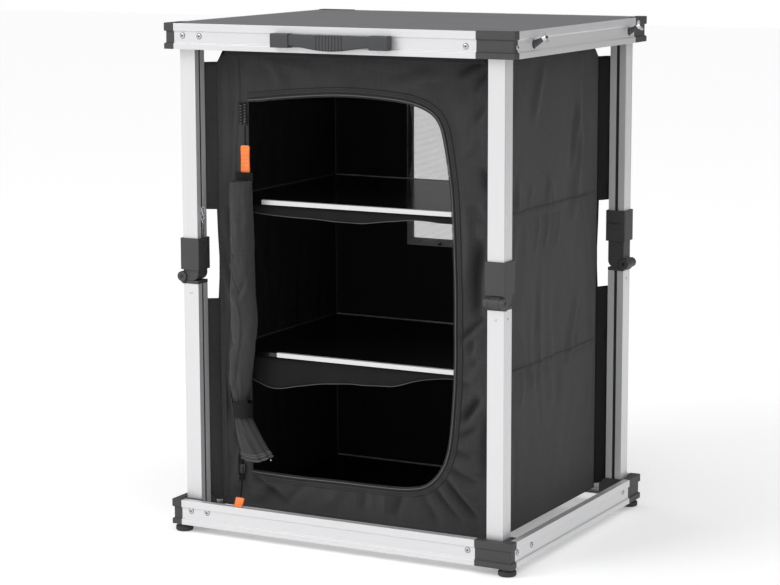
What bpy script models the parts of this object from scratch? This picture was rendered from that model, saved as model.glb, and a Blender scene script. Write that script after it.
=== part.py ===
"""Folding camping cupboard: two aluminium frames joined by four jackknife legs.

Units are metres, +Z is up, the front looks to -Y, and the floor is z = 0.
Every corner is the same corner turned by a quarter: in a corner's own axes the
outer corner is the origin, x runs along the rail that the leg folds down beside,
and y runs along the rail on the side of the knee's hinge.
"""

import math

import bmesh
import bpy
from mathutils import Matrix, Vector

# Overall size of the frame
WIDTH = 0.600
DEPTH = 0.500
HEIGHT = 0.810
FOOT_HEIGHT = 0.012
FOOT_RADIUS = 0.014
FOOT_NECK_RADIUS = 0.0112
FOOT_PAD_HEIGHT = 0.0085
FOOT_EDGE = 0.0016

# Rail extrusion: height, depth, walls and the bands of its outer face
RAIL_HEIGHT = 0.040
RAIL_DEPTH = 0.011
RAIL_WALL = 0.0018
RAIL_FLANGE = 0.0016
BAND_LOW = 0.0085
BAND_HIGH = 0.0115
BAND_RECESS = 0.0026
BAND_CHAMFER = 0.0016
TABLE_LIP = 0.0022

# Corner pieces: short arm on the fold rail, long arm on the hinge-side rail
SHORT_ARM = 0.017
LONG_ARM_FRONT = 0.062
LONG_ARM_SIDE = 0.046
CAP_PROUD = 0.0005
TENON_LENGTH = 0.025
EAR_LENGTH = 0.024
EAR_ROUND = 0.013
INNER_EAR = 0.003
CORNER_FLOOR = 0.0046
PIN_RADIUS = 0.0032
PIVOT_FROM_EDGE = 0.018

# Legs: square extrusion with two slots, set back from the frame's faces
LEG = 0.027
LEG_WALL = 0.0015
LEG_HINGE_SETBACK = 0.015
LEG_RAIL_SETBACK = 0.022
LEG_END = 0.008
SLOT_MOUTH = 0.0054
SLOT_WIDTH = 0.0104
SLOT_LIP = 0.0017
SLOT_DEPTH = 0.0062
RIDGE_PITCH = 0.0064
RIDGE_WIDTH = 0.0018
RIDGE_DEPTH = 0.0007

# Knee: hinge pin just outside the leg, blocks and barrels
KNEE_OUT = 0.0018
BARREL_RADIUS = 0.008
BARREL_OVERHANG = 0.0035
BARREL_SIDE = 0.0082
KNEE_PIN_RADIUS = 0.0026
FLANGE_DROP = 0.0064
FLANGE_THICK = 0.0049
FLANGE_PROUD = 0.0003
UPPER_BLOCK = 0.050
BLOCK_ROUND = 0.011
BARREL_ROOT_IN = 0.004
BARREL_ROOT_UP = 0.0112
BARREL_ROOT_DOWN = 0.002
PLUG_LENGTH = 0.020

# Lock sleeve around each upper leg
SLEEVE_HEIGHT = 0.050
SLEEVE_PROUD = 0.0035
SLEEVE_REST = 0.0112
SLEEVE_RAISED = 0.026
SLEEVE_LEDGE = 0.0030
SLEEVE_LEDGE_HEIGHT = 0.0065
SLEEVE_LEDGE_FLAT = 0.0026
SLEEVE_LEDGE_WIDTH = 0.0216
SLEEVE_SLOT = 0.018
SLEEVE_SLOT_DEPTH = 0.0016

# Boards and shelves
TABLE_THICK = 0.005
BOARD_THICK = 0.005
SHELF_THICK = 0.005
SHELF_LIP = 0.006
SHELF_LIP_DEPTH = 0.004
BOTTOM_BOARD_TOP = 0.043
LOWER_COMPARTMENT = 0.2485
MIDDLE_COMPARTMENT = 0.2415

# Fabric cabinet
CABINET_INSET_X = 0.0075
CABINET_INSET_Y = 0.014
CLOTH = 0.0015
FIN_SLOT_GAP = 0.0008
KNEE_CUT_BELOW = 0.039
KNEE_CUT_ABOVE = 0.104
FIN_CHAMFER = 0.012
DOOR_LEFT = 0.057
DOOR_RIGHT = 0.0755
DOOR_SILL = 0.0630
DOOR_HEAD = 0.0837
DOOR_ARCH = 0.0130
DOOR_CORNER_TOP = (0.074, 0.105)
DOOR_CORNER_BOTTOM = (0.078, 0.105)
WINDOW_HALF_WIDTH = 0.100
WINDOW_SILL = 0.1325
WINDOW_HEAD = 0.0695
MESH_THICK = 0.0008

# Rolled door, its strap, the zip sliders and their pulls
ROLL_TOP_DROP = 0.123
ROLL_BOTTOM_GAP = 0.020
ROLL_RADIUS = 0.0180
ROLL_INSET = 0.0036
ROLL_WAIST = 0.0135
ROLL_FLARE = 0.0290
ROLL_BELOW_WAIST = 0.081
ROLL_SHOULDER_DROP = 0.030
ROLL_BELLY_RISE = 0.050
ROLL_BELLY_FALL = 0.040
ROLL_NECK_RISE = 0.045
ROLL_SKIRT_FALL = 0.040
ROLL_KNOT = 0.002
STRAP_HEIGHT = 0.024
STRAP_THICK = 0.0012
STRAP_GAP = 0.0014
SLIDER_WIDTH = 0.012
SLIDER_HEIGHT = 0.016
SLIDER_THICK = 0.0030
SLIDER_WAIST = 0.0037
SLIDER_TOP = 0.0048
SLIDER_BRIDGE = 0.0034
SLIDER_DROP = 0.028
LOW_SLIDER_LEFT = 0.0192
PULL_WIDTH = 0.015
PULL_LENGTH = 0.040
PULL_THICK = 0.0022
PULL_ROUND = 0.0026
PULL_LEAN = 0.036
PULL_LEAN_RISE = 0.0168
PULL_CORD = 0.032
PULL_CORD_RADIUS = 0.0009

# Handle on the front of the table frame
HANDLE_LENGTH = 0.200
HANDLE_BLOCK = 0.031
HANDLE_BLOCK_HEIGHT = 0.0215
HANDLE_BLOCK_DEPTH = 0.015
HANDLE_TOP_DROP = 0.011
HANDLE_BLOCK_ROUND = 0.0022
GRIP_THICK = 0.008
GRIP_ROUND = 0.0018
GRIP_STAND = 0.0055
GRIP_TOP = 0.0080
GRIP_END = 0.0090
GRIP_BULGE = 0.0070
GRIP_PIN_RADIUS = 0.0030
GRIP_PIN_LENGTH = 0.0080
GRIP_RIBS = 9
GRIP_RIB_PITCH = 0.0054
GRIP_RIB_WIDTH = 0.0034
GRIP_RIB_FLANK = 0.0002
GRIP_RIB_DEPTH = 0.0008

# Windshield studs on the right rail, with wing nuts
STUD_INSET = 0.070
STUD_TILT = math.radians(28)
STUD_WASHER = 0.0065
STUD_WASHER_THICK = 0.0012
STUD_CONE = 0.0052
STUD_COLLAR = 0.0035
STUD_CONE_TIP = 0.0030
STUD_CONE_LENGTH = 0.0175
STUD_ROD = 0.0018
STUD_LENGTH = 0.0255
NUT_RADIUS = 0.0040
NUT_TOP_RADIUS = 0.0033
NUT_HEIGHT = 0.0055
WING_SPAN = 0.0085
WING_THICK = 0.0016
WING_ROUND = 0.0020
WING_RISE = 0.0018

# Clearances
TOUCH = 0.0003
RUN = 0.0003
SHELF_CLEAR = 0.0015
BOARD_CLEAR = 0.0004
CLOTH_TO_FRAME = 0.0006

# Places that follow from the sizes above
BASE_Z = FOOT_HEIGHT
TOP_Z = HEIGHT - RAIL_HEIGHT - CAP_PROUD
LOW_PIVOT_Z = BASE_Z + RAIL_HEIGHT - PIVOT_FROM_EDGE
HIGH_PIVOT_Z = TOP_Z + PIVOT_FROM_EDGE
KNEE_Z = (LOW_PIVOT_Z + HIGH_PIVOT_Z) / 2
LEG_X = LEG_HINGE_SETBACK + LEG / 2
LEG_Y = LEG_RAIL_SETBACK + LEG / 2
KNEE_X = LEG_HINGE_SETBACK - KNEE_OUT
TABLE_LEDGE = RAIL_HEIGHT - TABLE_THICK - TOUCH
CABINET_X = WIDTH / 2 - LEG_RAIL_SETBACK - LEG - CABINET_INSET_X
CABINET_Y = DEPTH / 2 - LEG_RAIL_SETBACK - LEG - CABINET_INSET_Y
CABINET_FLOOR = BOTTOM_BOARD_TOP - BOARD_THICK - TOUCH - CLOTH
CABINET_TOP = TOP_Z - CLOTH_TO_FRAME
LOWER_SHELF_TOP = BOTTOM_BOARD_TOP + LOWER_COMPARTMENT
UPPER_SHELF_TOP = LOWER_SHELF_TOP + MIDDLE_COMPARTMENT
DOOR_X0 = -CABINET_X + DOOR_LEFT
DOOR_X1 = CABINET_X - DOOR_RIGHT
DOOR_Z0 = CABINET_FLOOR + DOOR_SILL
DOOR_Z1 = CABINET_TOP - DOOR_HEAD
LOW_PULL_Z = DOOR_Z0 - SLIDER_HEIGHT / 2 - TOUCH * 4
NUT_SEAT = STUD_CONE_LENGTH + TOUCH

CORNERS = (
    ("front_left", -WIDTH / 2, -DEPTH / 2, WIDTH, LONG_ARM_SIDE),
    ("front_right", WIDTH / 2, -DEPTH / 2, DEPTH, LONG_ARM_FRONT),
    ("rear_right", WIDTH / 2, DEPTH / 2, WIDTH, LONG_ARM_SIDE),
    ("rear_left", -WIDTH / 2, DEPTH / 2, DEPTH, LONG_ARM_FRONT),
)
RAIL_NAMES = ("front", "right", "rear", "left")

COLOURS = {
    "aluminium": ((0.80, 0.80, 0.82), 0.30, 1.0),
    "dark_plastic": ((0.075, 0.075, 0.078), 0.50, 0.0),
    "rubber": ((0.05, 0.05, 0.052), 0.75, 0.0),
    "laminate": ((0.21, 0.21, 0.23), 0.45, 0.0),
    "shelf_board": ((0.012, 0.012, 0.014), 0.35, 0.0),
    "fabric": ((0.035, 0.035, 0.037), 0.85, 0.0),
    "mesh": ((0.46, 0.47, 0.49), 0.80, 0.0),
    "strap": ((0.018, 0.018, 0.019), 0.80, 0.0),
    "zip_metal": ((0.05, 0.05, 0.05), 0.40, 0.6),
    "orange": ((0.86, 0.21, 0.04), 0.50, 0.0),
    "steel": ((0.60, 0.60, 0.61), 0.28, 1.0),
}


def clear_scene():
    for item in list(bpy.data.objects):
        bpy.data.objects.remove(item, do_unlink=True)


def material(kind):
    """One Principled material for each finish, made when it is first used."""
    found = bpy.data.materials.get(kind)
    if found:
        return found
    colour, roughness, metallic = COLOURS[kind]
    made = bpy.data.materials.new(kind)
    made.use_nodes = True
    shader = made.node_tree.nodes["Principled BSDF"]
    shader.inputs["Base Color"].default_value = (*colour, 1.0)
    shader.inputs["Roughness"].default_value = roughness
    shader.inputs["Metallic"].default_value = metallic
    return made


def empty(name, place, turn=0.0, parent=None):
    """A guide that carries pieces; turn is about Z."""
    made = bpy.data.objects.new(name, None)
    bpy.context.collection.objects.link(made)
    made.location = place
    made.rotation_euler = (0.0, 0.0, turn)
    made.parent = parent
    return made


def solid_from(mesh_data):
    """A temporary object holding a closed mesh with its faces pointing out."""
    bmesh.ops.recalc_face_normals(mesh_data, faces=mesh_data.faces)
    mesh = bpy.data.meshes.new("solid")
    mesh_data.to_mesh(mesh)
    mesh_data.free()
    made = bpy.data.objects.new("solid", mesh)
    bpy.context.collection.objects.link(made)
    return made


def prism(outline, axis, start, end):
    """Extrude an outline along an axis: (y, z) along x, (x, z) along y, (x, y) along z."""
    order = {"x": lambda a, b, c: (c, a, b), "y": lambda a, b, c: (a, c, b), "z": lambda a, b, c: (a, b, c)}
    place = order[axis]
    shape = bmesh.new()
    ring = [shape.verts.new(place(a, b, start)) for a, b in outline]
    face = shape.faces.new(ring)
    swept = bmesh.ops.extrude_face_region(shape, geom=[face])
    moved = [item for item in swept["geom"] if isinstance(item, bmesh.types.BMVert)]
    bmesh.ops.translate(shape, verts=moved, vec=Vector(place(0, 0, end - start)))
    return solid_from(shape)


def block(low, high):
    """A plain box between two corners, used for cuts and short webs."""
    outline = [(low[0], low[1]), (high[0], low[1]), (high[0], high[1]), (low[0], high[1])]
    return prism(outline, "z", low[2], high[2])


def round_bar(axis, centre, radius, start, end, sides=20):
    """A cylinder along an axis through the point centre, given in the outline's plane."""
    outline = arc_points(centre, radius, radius, 0, 360 - 360 / sides, sides - 1)
    return prism(outline, axis, start, end)


def arc_points(centre, radius_a, radius_b, start, end, steps):
    """Points along an elliptical arc, angles in degrees."""
    points = []
    for step in range(steps + 1):
        angle = math.radians(start + (end - start) * step / steps)
        points.append((centre[0] + radius_a * math.cos(angle), centre[1] + radius_b * math.sin(angle)))
    return points


def revolve(profile, steps=24):
    """Turn (radius, height) points about Z; the profile starts and ends on the axis."""
    shape = bmesh.new()
    rings = []
    for radius, height in profile[1:-1]:
        ring = []
        for step in range(steps):
            angle = 2 * math.pi * step / steps
            ring.append(shape.verts.new((radius * math.cos(angle), radius * math.sin(angle), height)))
        rings.append(ring)
    for low, high in zip(rings, rings[1:]):
        for step in range(steps):
            after = (step + 1) % steps
            shape.faces.new((low[step], low[after], high[after], high[step]))
    shape.faces.new(rings[0])
    shape.faces.new(rings[-1])
    return solid_from(shape)


def loft(rings):
    """Join rings of equal count into one closed body with flat ends."""
    shape = bmesh.new()
    loops = [[shape.verts.new(point) for point in ring] for ring in rings]
    count = len(loops[0])
    for low, high in zip(loops, loops[1:]):
        for step in range(count):
            after = (step + 1) % count
            shape.faces.new((low[step], low[after], high[after], high[step]))
    shape.faces.new(loops[0])
    shape.faces.new(loops[-1])
    return solid_from(shape)


def combine(body, others, operation):
    """Apply exact Booleans to a body and remove the tools."""
    for other in others:
        step = body.modifiers.new("combine", "BOOLEAN")
        step.solver = "EXACT"
        step.operation = operation
        step.object = other
    graph = bpy.context.evaluated_depsgraph_get()
    mesh = bpy.data.meshes.new_from_object(body.evaluated_get(graph))
    body.modifiers.clear()
    body.data = mesh
    for other in others:
        bpy.data.objects.remove(other, do_unlink=True)
    return body


def unite(body, *others):
    return combine(body, others, "UNION")


def cut(body, *others):
    return combine(body, others, "DIFFERENCE")


def moved(body, matrix):
    body.data.transform(matrix)
    return body


def shape_of(body, smooth=False):
    """Take the mesh out of a temporary object, smooth where the piece is round."""
    mesh = body.data
    bpy.data.objects.remove(body, do_unlink=True)
    if smooth:
        mesh.shade_smooth()
        mesh.set_sharp_from_angle(angle=math.radians(35))
    return mesh


def piece(name, mesh, finish, parent, place=(0.0, 0.0, 0.0)):
    """A named sub-part that shares the given mesh and hangs on its parent."""
    made = bpy.data.objects.new(name, mesh)
    bpy.context.collection.objects.link(made)
    if not mesh.materials:
        mesh.materials.append(material(finish))
    made.location = place
    made.parent = parent
    return made


# Frame rails


def outer_bands(height, inset=0.0):
    """The banded outer face from bottom to top, set in by an inset."""
    recess = BAND_RECESS + inset
    return [
        (inset, 0.0),
        (inset, BAND_LOW),
        (recess, BAND_LOW + BAND_CHAMFER),
        (recess, height - BAND_HIGH - BAND_CHAMFER),
        (inset, height - BAND_HIGH),
        (inset, height),
    ]


def base_rail_section():
    """C-section with flanges at the top and bottom; (depth, height)."""
    inner = outer_bands(RAIL_HEIGHT, RAIL_WALL)
    inner[0] = (RAIL_WALL, RAIL_FLANGE)
    inner[-1] = (RAIL_WALL, RAIL_HEIGHT - RAIL_FLANGE)
    outline = outer_bands(RAIL_HEIGHT)
    outline += [(RAIL_DEPTH, RAIL_HEIGHT), (RAIL_DEPTH, RAIL_HEIGHT - RAIL_FLANGE)]
    outline += list(reversed(inner))
    outline += [(RAIL_DEPTH, RAIL_FLANGE), (RAIL_DEPTH, 0.0)]
    return outline


def table_rail_section():
    """The same face with a lip and a ledge that carry the table board."""
    inner = outer_bands(RAIL_HEIGHT, RAIL_WALL)
    inner[0] = (RAIL_WALL, RAIL_FLANGE)
    inner[-1] = (RAIL_WALL, TABLE_LEDGE - RAIL_FLANGE)
    outline = outer_bands(RAIL_HEIGHT)
    outline += [(TABLE_LIP, RAIL_HEIGHT), (TABLE_LIP, TABLE_LEDGE)]
    outline += [(RAIL_DEPTH, TABLE_LEDGE), (RAIL_DEPTH, TABLE_LEDGE - RAIL_FLANGE)]
    outline += list(reversed(inner))
    outline += [(RAIL_DEPTH, RAIL_FLANGE), (RAIL_DEPTH, 0.0)]
    return outline


def build_rails(prefix, section, carriers):
    for index, (_, _, _, length, _) in enumerate(CORNERS):
        next_long_arm = CORNERS[(index + 1) % 4][4]
        rail = prism(section, "x", SHORT_ARM + TOUCH, length - next_long_arm - TOUCH)
        piece(prefix + "_rail_" + RAIL_NAMES[index], shape_of(rail), "aluminium", carriers[index])


# Corner pieces


def cap_section(covers_board):
    """Solid section of the corner's arms; the table corners take the board in a groove."""
    height = RAIL_HEIGHT + CAP_PROUD
    outline = outer_bands(RAIL_HEIGHT)
    outline[-1] = (0.0, height)
    if covers_board:
        groove = RAIL_WALL + BAND_RECESS
        outline += [
            (RAIL_DEPTH, height),
            (RAIL_DEPTH, RAIL_HEIGHT - TOUCH),
            (groove, RAIL_HEIGHT - TOUCH),
            (groove, TABLE_LEDGE - TOUCH),
            (RAIL_DEPTH, TABLE_LEDGE - TOUCH),
        ]
    else:
        outline.append((RAIL_DEPTH, height))
    outline.append((RAIL_DEPTH, 0.0))
    return outline


def mitred_arms(section, long_arm):
    """Sweep the section around the corner, from the short arm's end to the long arm's."""
    rings = [
        [(SHORT_ARM, depth, height) for depth, height in section],
        [(depth, depth, height) for depth, height in section],
        [(depth, long_arm, height) for depth, height in section],
    ]
    return loft(rings)


def tenon_section(top):
    """What fills a rail's channel, with clearance all round."""
    wall = RAIL_WALL + BAND_RECESS + TOUCH
    low = RAIL_FLANGE + TOUCH
    high = top - RAIL_FLANGE - TOUCH
    return [(wall, low), (RAIL_DEPTH - TOUCH, low), (RAIL_DEPTH - TOUCH, high), (wall, high)]


def ear_outline(top, opens_up):
    """A plate beside the leg's foot: square at the rail, rounded where the leg swings out."""
    start = RAIL_DEPTH - TOUCH * 2
    clear = RAIL_DEPTH + TOUCH
    end = LEG_X + EAR_LENGTH
    low_step = RAIL_FLANGE + TOUCH * 2
    high_step = top - RAIL_FLANGE - TOUCH * 2
    edge = TOUCH
    if opens_up:
        curve = arc_points((end - EAR_ROUND, top - edge - EAR_ROUND), EAR_ROUND, EAR_ROUND, 0, 90, 6)
        return [(start, low_step), (clear, low_step), (clear, edge), (end, edge), *curve,
                (clear, top - edge), (clear, high_step), (start, high_step)]
    curve = arc_points((end - EAR_ROUND, edge + EAR_ROUND), EAR_ROUND, EAR_ROUND, -90, 0, 6)
    return [(start, low_step), (clear, low_step), (clear, edge), *curve,
            (end, top - edge), (clear, top - edge), (clear, high_step), (start, high_step)]


def corner_mesh(covers_board, long_arm):
    """Arms, tenons, the clevis ears and the leg's pivot pin as one moulding."""
    body = mitred_arms(cap_section(covers_board), long_arm)
    top = TABLE_LEDGE if covers_board else RAIL_HEIGHT
    pivot_z = PIVOT_FROM_EDGE if covers_board else RAIL_HEIGHT - PIVOT_FROM_EDGE
    tenon = tenon_section(top)
    root = TOUCH * 10
    parts = [
        prism(tenon, "x", SHORT_ARM - root, SHORT_ARM + TENON_LENGTH),
        prism(tenon, "y", long_arm - root, long_arm + TENON_LENGTH),
    ]
    ear = ear_outline(top, not covers_board)
    outer = (RAIL_DEPTH + TOUCH, LEG_RAIL_SETBACK - TOUCH)
    inner = (LEG_RAIL_SETBACK + LEG + TOUCH, LEG_RAIL_SETBACK + LEG + TOUCH + INNER_EAR)
    parts.append(prism(ear, "y", *outer))
    parts.append(prism(ear, "y", *inner))
    parts.append(round_bar("y", (LEG_X, pivot_z), PIN_RADIUS, outer[1] - root, inner[0] + root, 16))
    if not covers_board:
        low = (RAIL_DEPTH + TOUCH, outer[0], TOUCH)
        parts.append(block(low, (LEG_X + EAR_LENGTH, inner[1], CORNER_FLOOR)))
    return shape_of(unite(body, *parts))


def build_corners(prefix, covers_board, carriers):
    meshes = {}
    for index, (name, _, _, _, long_arm) in enumerate(CORNERS):
        if long_arm not in meshes:
            meshes[long_arm] = corner_mesh(covers_board, long_arm)
        piece(prefix + "_corner_" + name, meshes[long_arm], "dark_plastic", carriers[index])


def build_feet(carriers):
    profile = [
        (0.0, 0.0),
        (FOOT_RADIUS - FOOT_EDGE, 0.0),
        (FOOT_RADIUS, FOOT_EDGE),
        (FOOT_RADIUS, FOOT_PAD_HEIGHT - FOOT_EDGE),
        (FOOT_RADIUS - FOOT_EDGE, FOOT_PAD_HEIGHT),
        (FOOT_NECK_RADIUS, FOOT_PAD_HEIGHT),
        (FOOT_NECK_RADIUS, FOOT_HEIGHT - TOUCH),
        (0.0, FOOT_HEIGHT - TOUCH),
    ]
    mesh = shape_of(revolve(profile), smooth=True)
    for index, (name, _, _, _, _) in enumerate(CORNERS):
        piece("foot_" + name, mesh, "rubber", carriers[index], (FOOT_RADIUS, FOOT_RADIUS, -BASE_Z))


# Legs


def slotted_side():
    """One side of the leg from left to right, with its T-shaped slot; y is the face."""
    half = LEG / 2
    mouth = SLOT_MOUTH / 2
    wide = SLOT_WIDTH / 2
    return [
        (-mouth, half),
        (-mouth, half - SLOT_LIP),
        (-wide, half - SLOT_LIP),
        (-wide, half - SLOT_DEPTH),
        (wide, half - SLOT_DEPTH),
        (wide, half - SLOT_LIP),
        (mouth, half - SLOT_LIP),
        (mouth, half),
    ]


def ridged_side():
    """One side with three shallow grooves; y is the face."""
    half = LEG / 2
    points = []
    for number in (-1, 0, 1):
        middle = number * RIDGE_PITCH
        points += [
            (middle - RIDGE_WIDTH / 2, half),
            (middle - RIDGE_WIDTH / 2 + RIDGE_DEPTH / 2, half - RIDGE_DEPTH),
            (middle + RIDGE_WIDTH / 2 - RIDGE_DEPTH / 2, half - RIDGE_DEPTH),
            (middle + RIDGE_WIDTH / 2, half),
        ]
    return points


def turned(points, quarters):
    """Turn outline points by clockwise quarters about the leg's centre."""
    for _ in range(quarters):
        points = [(y, -x) for x, y in points]
    return points


def leg_section(ridges_on_hinge_side):
    """Clockwise outline: slots on the two inner sides, ridges on one outer side."""
    half = LEG / 2
    corners = [(-half, half), (half, half), (half, -half), (-half, -half)]
    sides = [slotted_side(), turned(slotted_side(), 1), [], []]
    ridged = 3 if ridges_on_hinge_side else 2
    sides[ridged] = turned(ridged_side(), ridged)
    outline = []
    for corner, side in zip(corners, sides):
        outline.append(corner)
        outline += side
    return outline


def hollow_bounds():
    """Low and high edges of the square hollow inside the leg."""
    return -LEG / 2 + LEG_WALL, LEG / 2 - SLOT_DEPTH - LEG_WALL


def leg_mesh(ridges_on_hinge_side, low, high, bore_z):
    """A hollow extrusion with the pivot's cross bore; heights are from the piece's origin."""
    body = prism(leg_section(ridges_on_hinge_side), "z", low, high)
    near, far = hollow_bounds()
    over = LEG
    hollow = block((near, near, low - over), (far, far, high + over))
    bore = round_bar("y", (0.0, bore_z), PIN_RADIUS + RUN, -over, over, 16)
    return shape_of(cut(body, hollow, bore))


def plug(low, high):
    near, far = hollow_bounds()
    gap = RUN
    return block((near + gap, near + gap, low), (far - gap, far - gap, high))


def barrel_outline(start, end, tail):
    """A barrel's rim from one angle to the other, then the tail that roots it."""
    return arc_points((0.0, 0.0), BARREL_RADIUS, BARREL_RADIUS, start, end, 16) + tail


def barrel_spans():
    """Where the barrel's three segments lie along the hinge, from the leg's centre."""
    reach = LEG / 2 + BARREL_OVERHANG
    inner = reach - BARREL_SIDE
    return (-reach, -inner), (-inner + RUN, inner - RUN), (inner, reach)


def lower_knuckle_mesh():
    """Flange and plug on the lower leg with the two outer barrels and the hinge pin."""
    leg_x = LEG_X - KNEE_X
    half = LEG / 2 + FLANGE_PROUD
    low = -FLANGE_DROP - FLANGE_THICK
    body = block((leg_x - half, -half, low), (leg_x + half, half, -FLANGE_DROP))
    stem = moved(plug(low - PLUG_LENGTH, -FLANGE_DROP - TOUCH), Matrix.Translation((leg_x, 0.0, 0.0)))
    left, middle, right = barrel_spans()
    relief = round_bar("y", (0.0, 0.0), BARREL_RADIUS + RUN, middle[0] - RUN, middle[1] + RUN, 24)
    body = cut(unite(body, stem), relief)
    rim_x = math.sqrt(BARREL_RADIUS ** 2 - FLANGE_DROP ** 2)
    rim_angle = -math.degrees(math.atan2(FLANGE_DROP, rim_x))
    face = leg_x - half
    tail = [(face, low), (rim_x, low)]
    outline = barrel_outline(rim_angle, 258, tail)
    pin = round_bar("y", (0.0, 0.0), KNEE_PIN_RADIUS, left[1] - RUN * 4, right[0] + RUN * 4, 16)
    barrels = (prism(outline, "y", *left), prism(outline, "y", *right))
    return shape_of(unite(body, *barrels, pin))


def upper_knuckle_mesh():
    """Block and plug on the upper leg with the middle barrel, relieved for the others."""
    near = LEG_HINGE_SETBACK - KNEE_X
    far = near + LEG
    half = LEG / 2
    low = -FLANGE_DROP + TOUCH
    curve = arc_points((far - BLOCK_ROUND, low + BLOCK_ROUND), BLOCK_ROUND, BLOCK_ROUND, -90, 0, 7)
    outline = [(near, low), *curve, (far, UPPER_BLOCK), (near, UPPER_BLOCK)]
    body = prism(outline, "y", -half, half)
    left, middle, right = barrel_spans()
    clear = BARREL_RADIUS + RUN
    reliefs = [
        round_bar("y", (0.0, 0.0), clear, left[0] - clear, left[1] + RUN, 24),
        round_bar("y", (0.0, 0.0), clear, right[0] - RUN, right[1] + clear, 24),
    ]
    body = cut(body, *reliefs)
    root = near + BARREL_ROOT_IN
    tail = [(root, -BARREL_ROOT_DOWN), (root, BARREL_ROOT_UP), (near, BARREL_ROOT_UP)]
    barrel = prism(barrel_outline(100, 330, tail), "y", *middle)
    leg_x = LEG_X - KNEE_X
    stem = moved(plug(UPPER_BLOCK - TOUCH, UPPER_BLOCK + PLUG_LENGTH), Matrix.Translation((leg_x, 0.0, 0.0)))
    bore = round_bar("y", (0.0, 0.0), KNEE_PIN_RADIUS + RUN, -LEG, LEG, 16)
    return shape_of(cut(unite(body, barrel, stem), bore))


def sleeve_mesh():
    """Square collar with a ledge for the thumb and a recess for the release strip."""
    half = LEG / 2
    out = half + SLEEVE_PROUD
    round_edge = SLEEVE_PROUD / 2
    outline = []
    for number, (sx, sy) in enumerate(((1, 1), (-1, 1), (-1, -1), (1, -1))):
        centre = (sx * (out - round_edge), sy * (out - round_edge))
        outline += arc_points(centre, round_edge, round_edge, number * 90, number * 90 + 90, 3)
    body = prism(outline, "z", 0.0, SLEEVE_HEIGHT)
    middle = SLEEVE_HEIGHT / 2 - SLEEVE_LEDGE_HEIGHT / 2
    wedge = [
        (out - round_edge, middle),
        (out, middle),
        (out + SLEEVE_LEDGE, middle + SLEEVE_LEDGE_HEIGHT - SLEEVE_LEDGE_FLAT),
        (out + SLEEVE_LEDGE, middle + SLEEVE_LEDGE_HEIGHT),
        (out - round_edge, middle + SLEEVE_LEDGE_HEIGHT),
    ]
    ledge = prism(wedge, "x", -SLEEVE_LEDGE_WIDTH / 2, SLEEVE_LEDGE_WIDTH / 2)
    gap = half + RUN
    through = block((-gap, -gap, -LEG), (gap, gap, SLEEVE_HEIGHT + LEG))
    slot = block(
        (out - SLEEVE_SLOT_DEPTH, -SLOT_MOUTH / 2, SLEEVE_HEIGHT - SLEEVE_SLOT),
        (out + LEG, SLOT_MOUTH / 2, SLEEVE_HEIGHT + LEG),
    )
    return shape_of(cut(unite(body, ledge), through, slot))


def build_legs(root):
    """Each leg hangs on three guides: its low pivot, its knee and its sleeve."""
    knee_rise = KNEE_Z - LOW_PIVOT_Z
    tube_top = KNEE_Z - FLANGE_DROP - FLANGE_THICK - TOUCH
    upper_low = UPPER_BLOCK + TOUCH
    leg_x = LEG_X - KNEE_X
    lower_knuckle = lower_knuckle_mesh()
    upper_knuckle = upper_knuckle_mesh()
    sleeve = sleeve_mesh()
    lower_legs = {}
    upper_legs = {}
    for hinge_side in (True, False):
        lower_legs[hinge_side] = leg_mesh(hinge_side, -LEG_END, tube_top - LOW_PIVOT_Z, 0.0)
        upper = leg_mesh(hinge_side, upper_low, HIGH_PIVOT_Z - KNEE_Z + LEG_END, HIGH_PIVOT_Z - KNEE_Z)
        upper.transform(Matrix.Translation((leg_x, 0.0, 0.0)))
        upper_legs[hinge_side] = upper
    for index, (name, x, y, _, _) in enumerate(CORNERS):
        turn = index * math.pi / 2
        corner = empty("leg_corner_" + name, (x, y, 0.0), turn, root)
        low_pivot = empty("low_pivot_" + name, (LEG_X, LEG_Y, LOW_PIVOT_Z), 0.0, corner)
        knee = empty("knee_" + name, (KNEE_X - LEG_X, 0.0, knee_rise), 0.0, low_pivot)
        hinge_side = index % 2 == 0
        piece("lower_leg_" + name, lower_legs[hinge_side], "aluminium", low_pivot)
        piece("lower_knuckle_" + name, lower_knuckle, "dark_plastic", low_pivot, knee.location)
        piece("upper_leg_" + name, upper_legs[hinge_side], "aluminium", knee)
        piece("upper_knuckle_" + name, upper_knuckle, "dark_plastic", knee)
        raised = SLEEVE_RAISED if name == "rear_right" else 0.0
        piece("lock_sleeve_" + name, sleeve, "dark_plastic", knee, (leg_x, 0.0, SLEEVE_REST + raised))


# Boards and shelves


def build_table_board(root):
    """Laminate board that lies on the rails' ledges and under the corners' lips."""
    edge = TABLE_LIP + BOARD_CLEAR
    notch = RAIL_WALL + BAND_RECESS + BOARD_CLEAR
    outline = []
    for index, (_, x, y, _, long_arm) in enumerate(CORNERS):
        short_end = SHORT_ARM + BOARD_CLEAR
        long_end = long_arm + BOARD_CLEAR
        local = [(edge, long_end), (notch, long_end), (notch, notch), (short_end, notch), (short_end, edge)]
        turn = Matrix.Rotation(index * math.pi / 2, 2)
        for a, b in local:
            spot = turn @ Vector((a, b))
            outline.append((x + spot.x, y + spot.y))
    low = TOP_Z + TABLE_LEDGE + TOUCH / 2
    board = prism(outline, "z", low, low + TABLE_THICK - TOUCH)
    piece("table_board", shape_of(board), "laminate", root)


def shelf_half_sizes():
    clear = CLOTH + SHELF_CLEAR
    return CABINET_X - clear, CABINET_Y - clear


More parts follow.
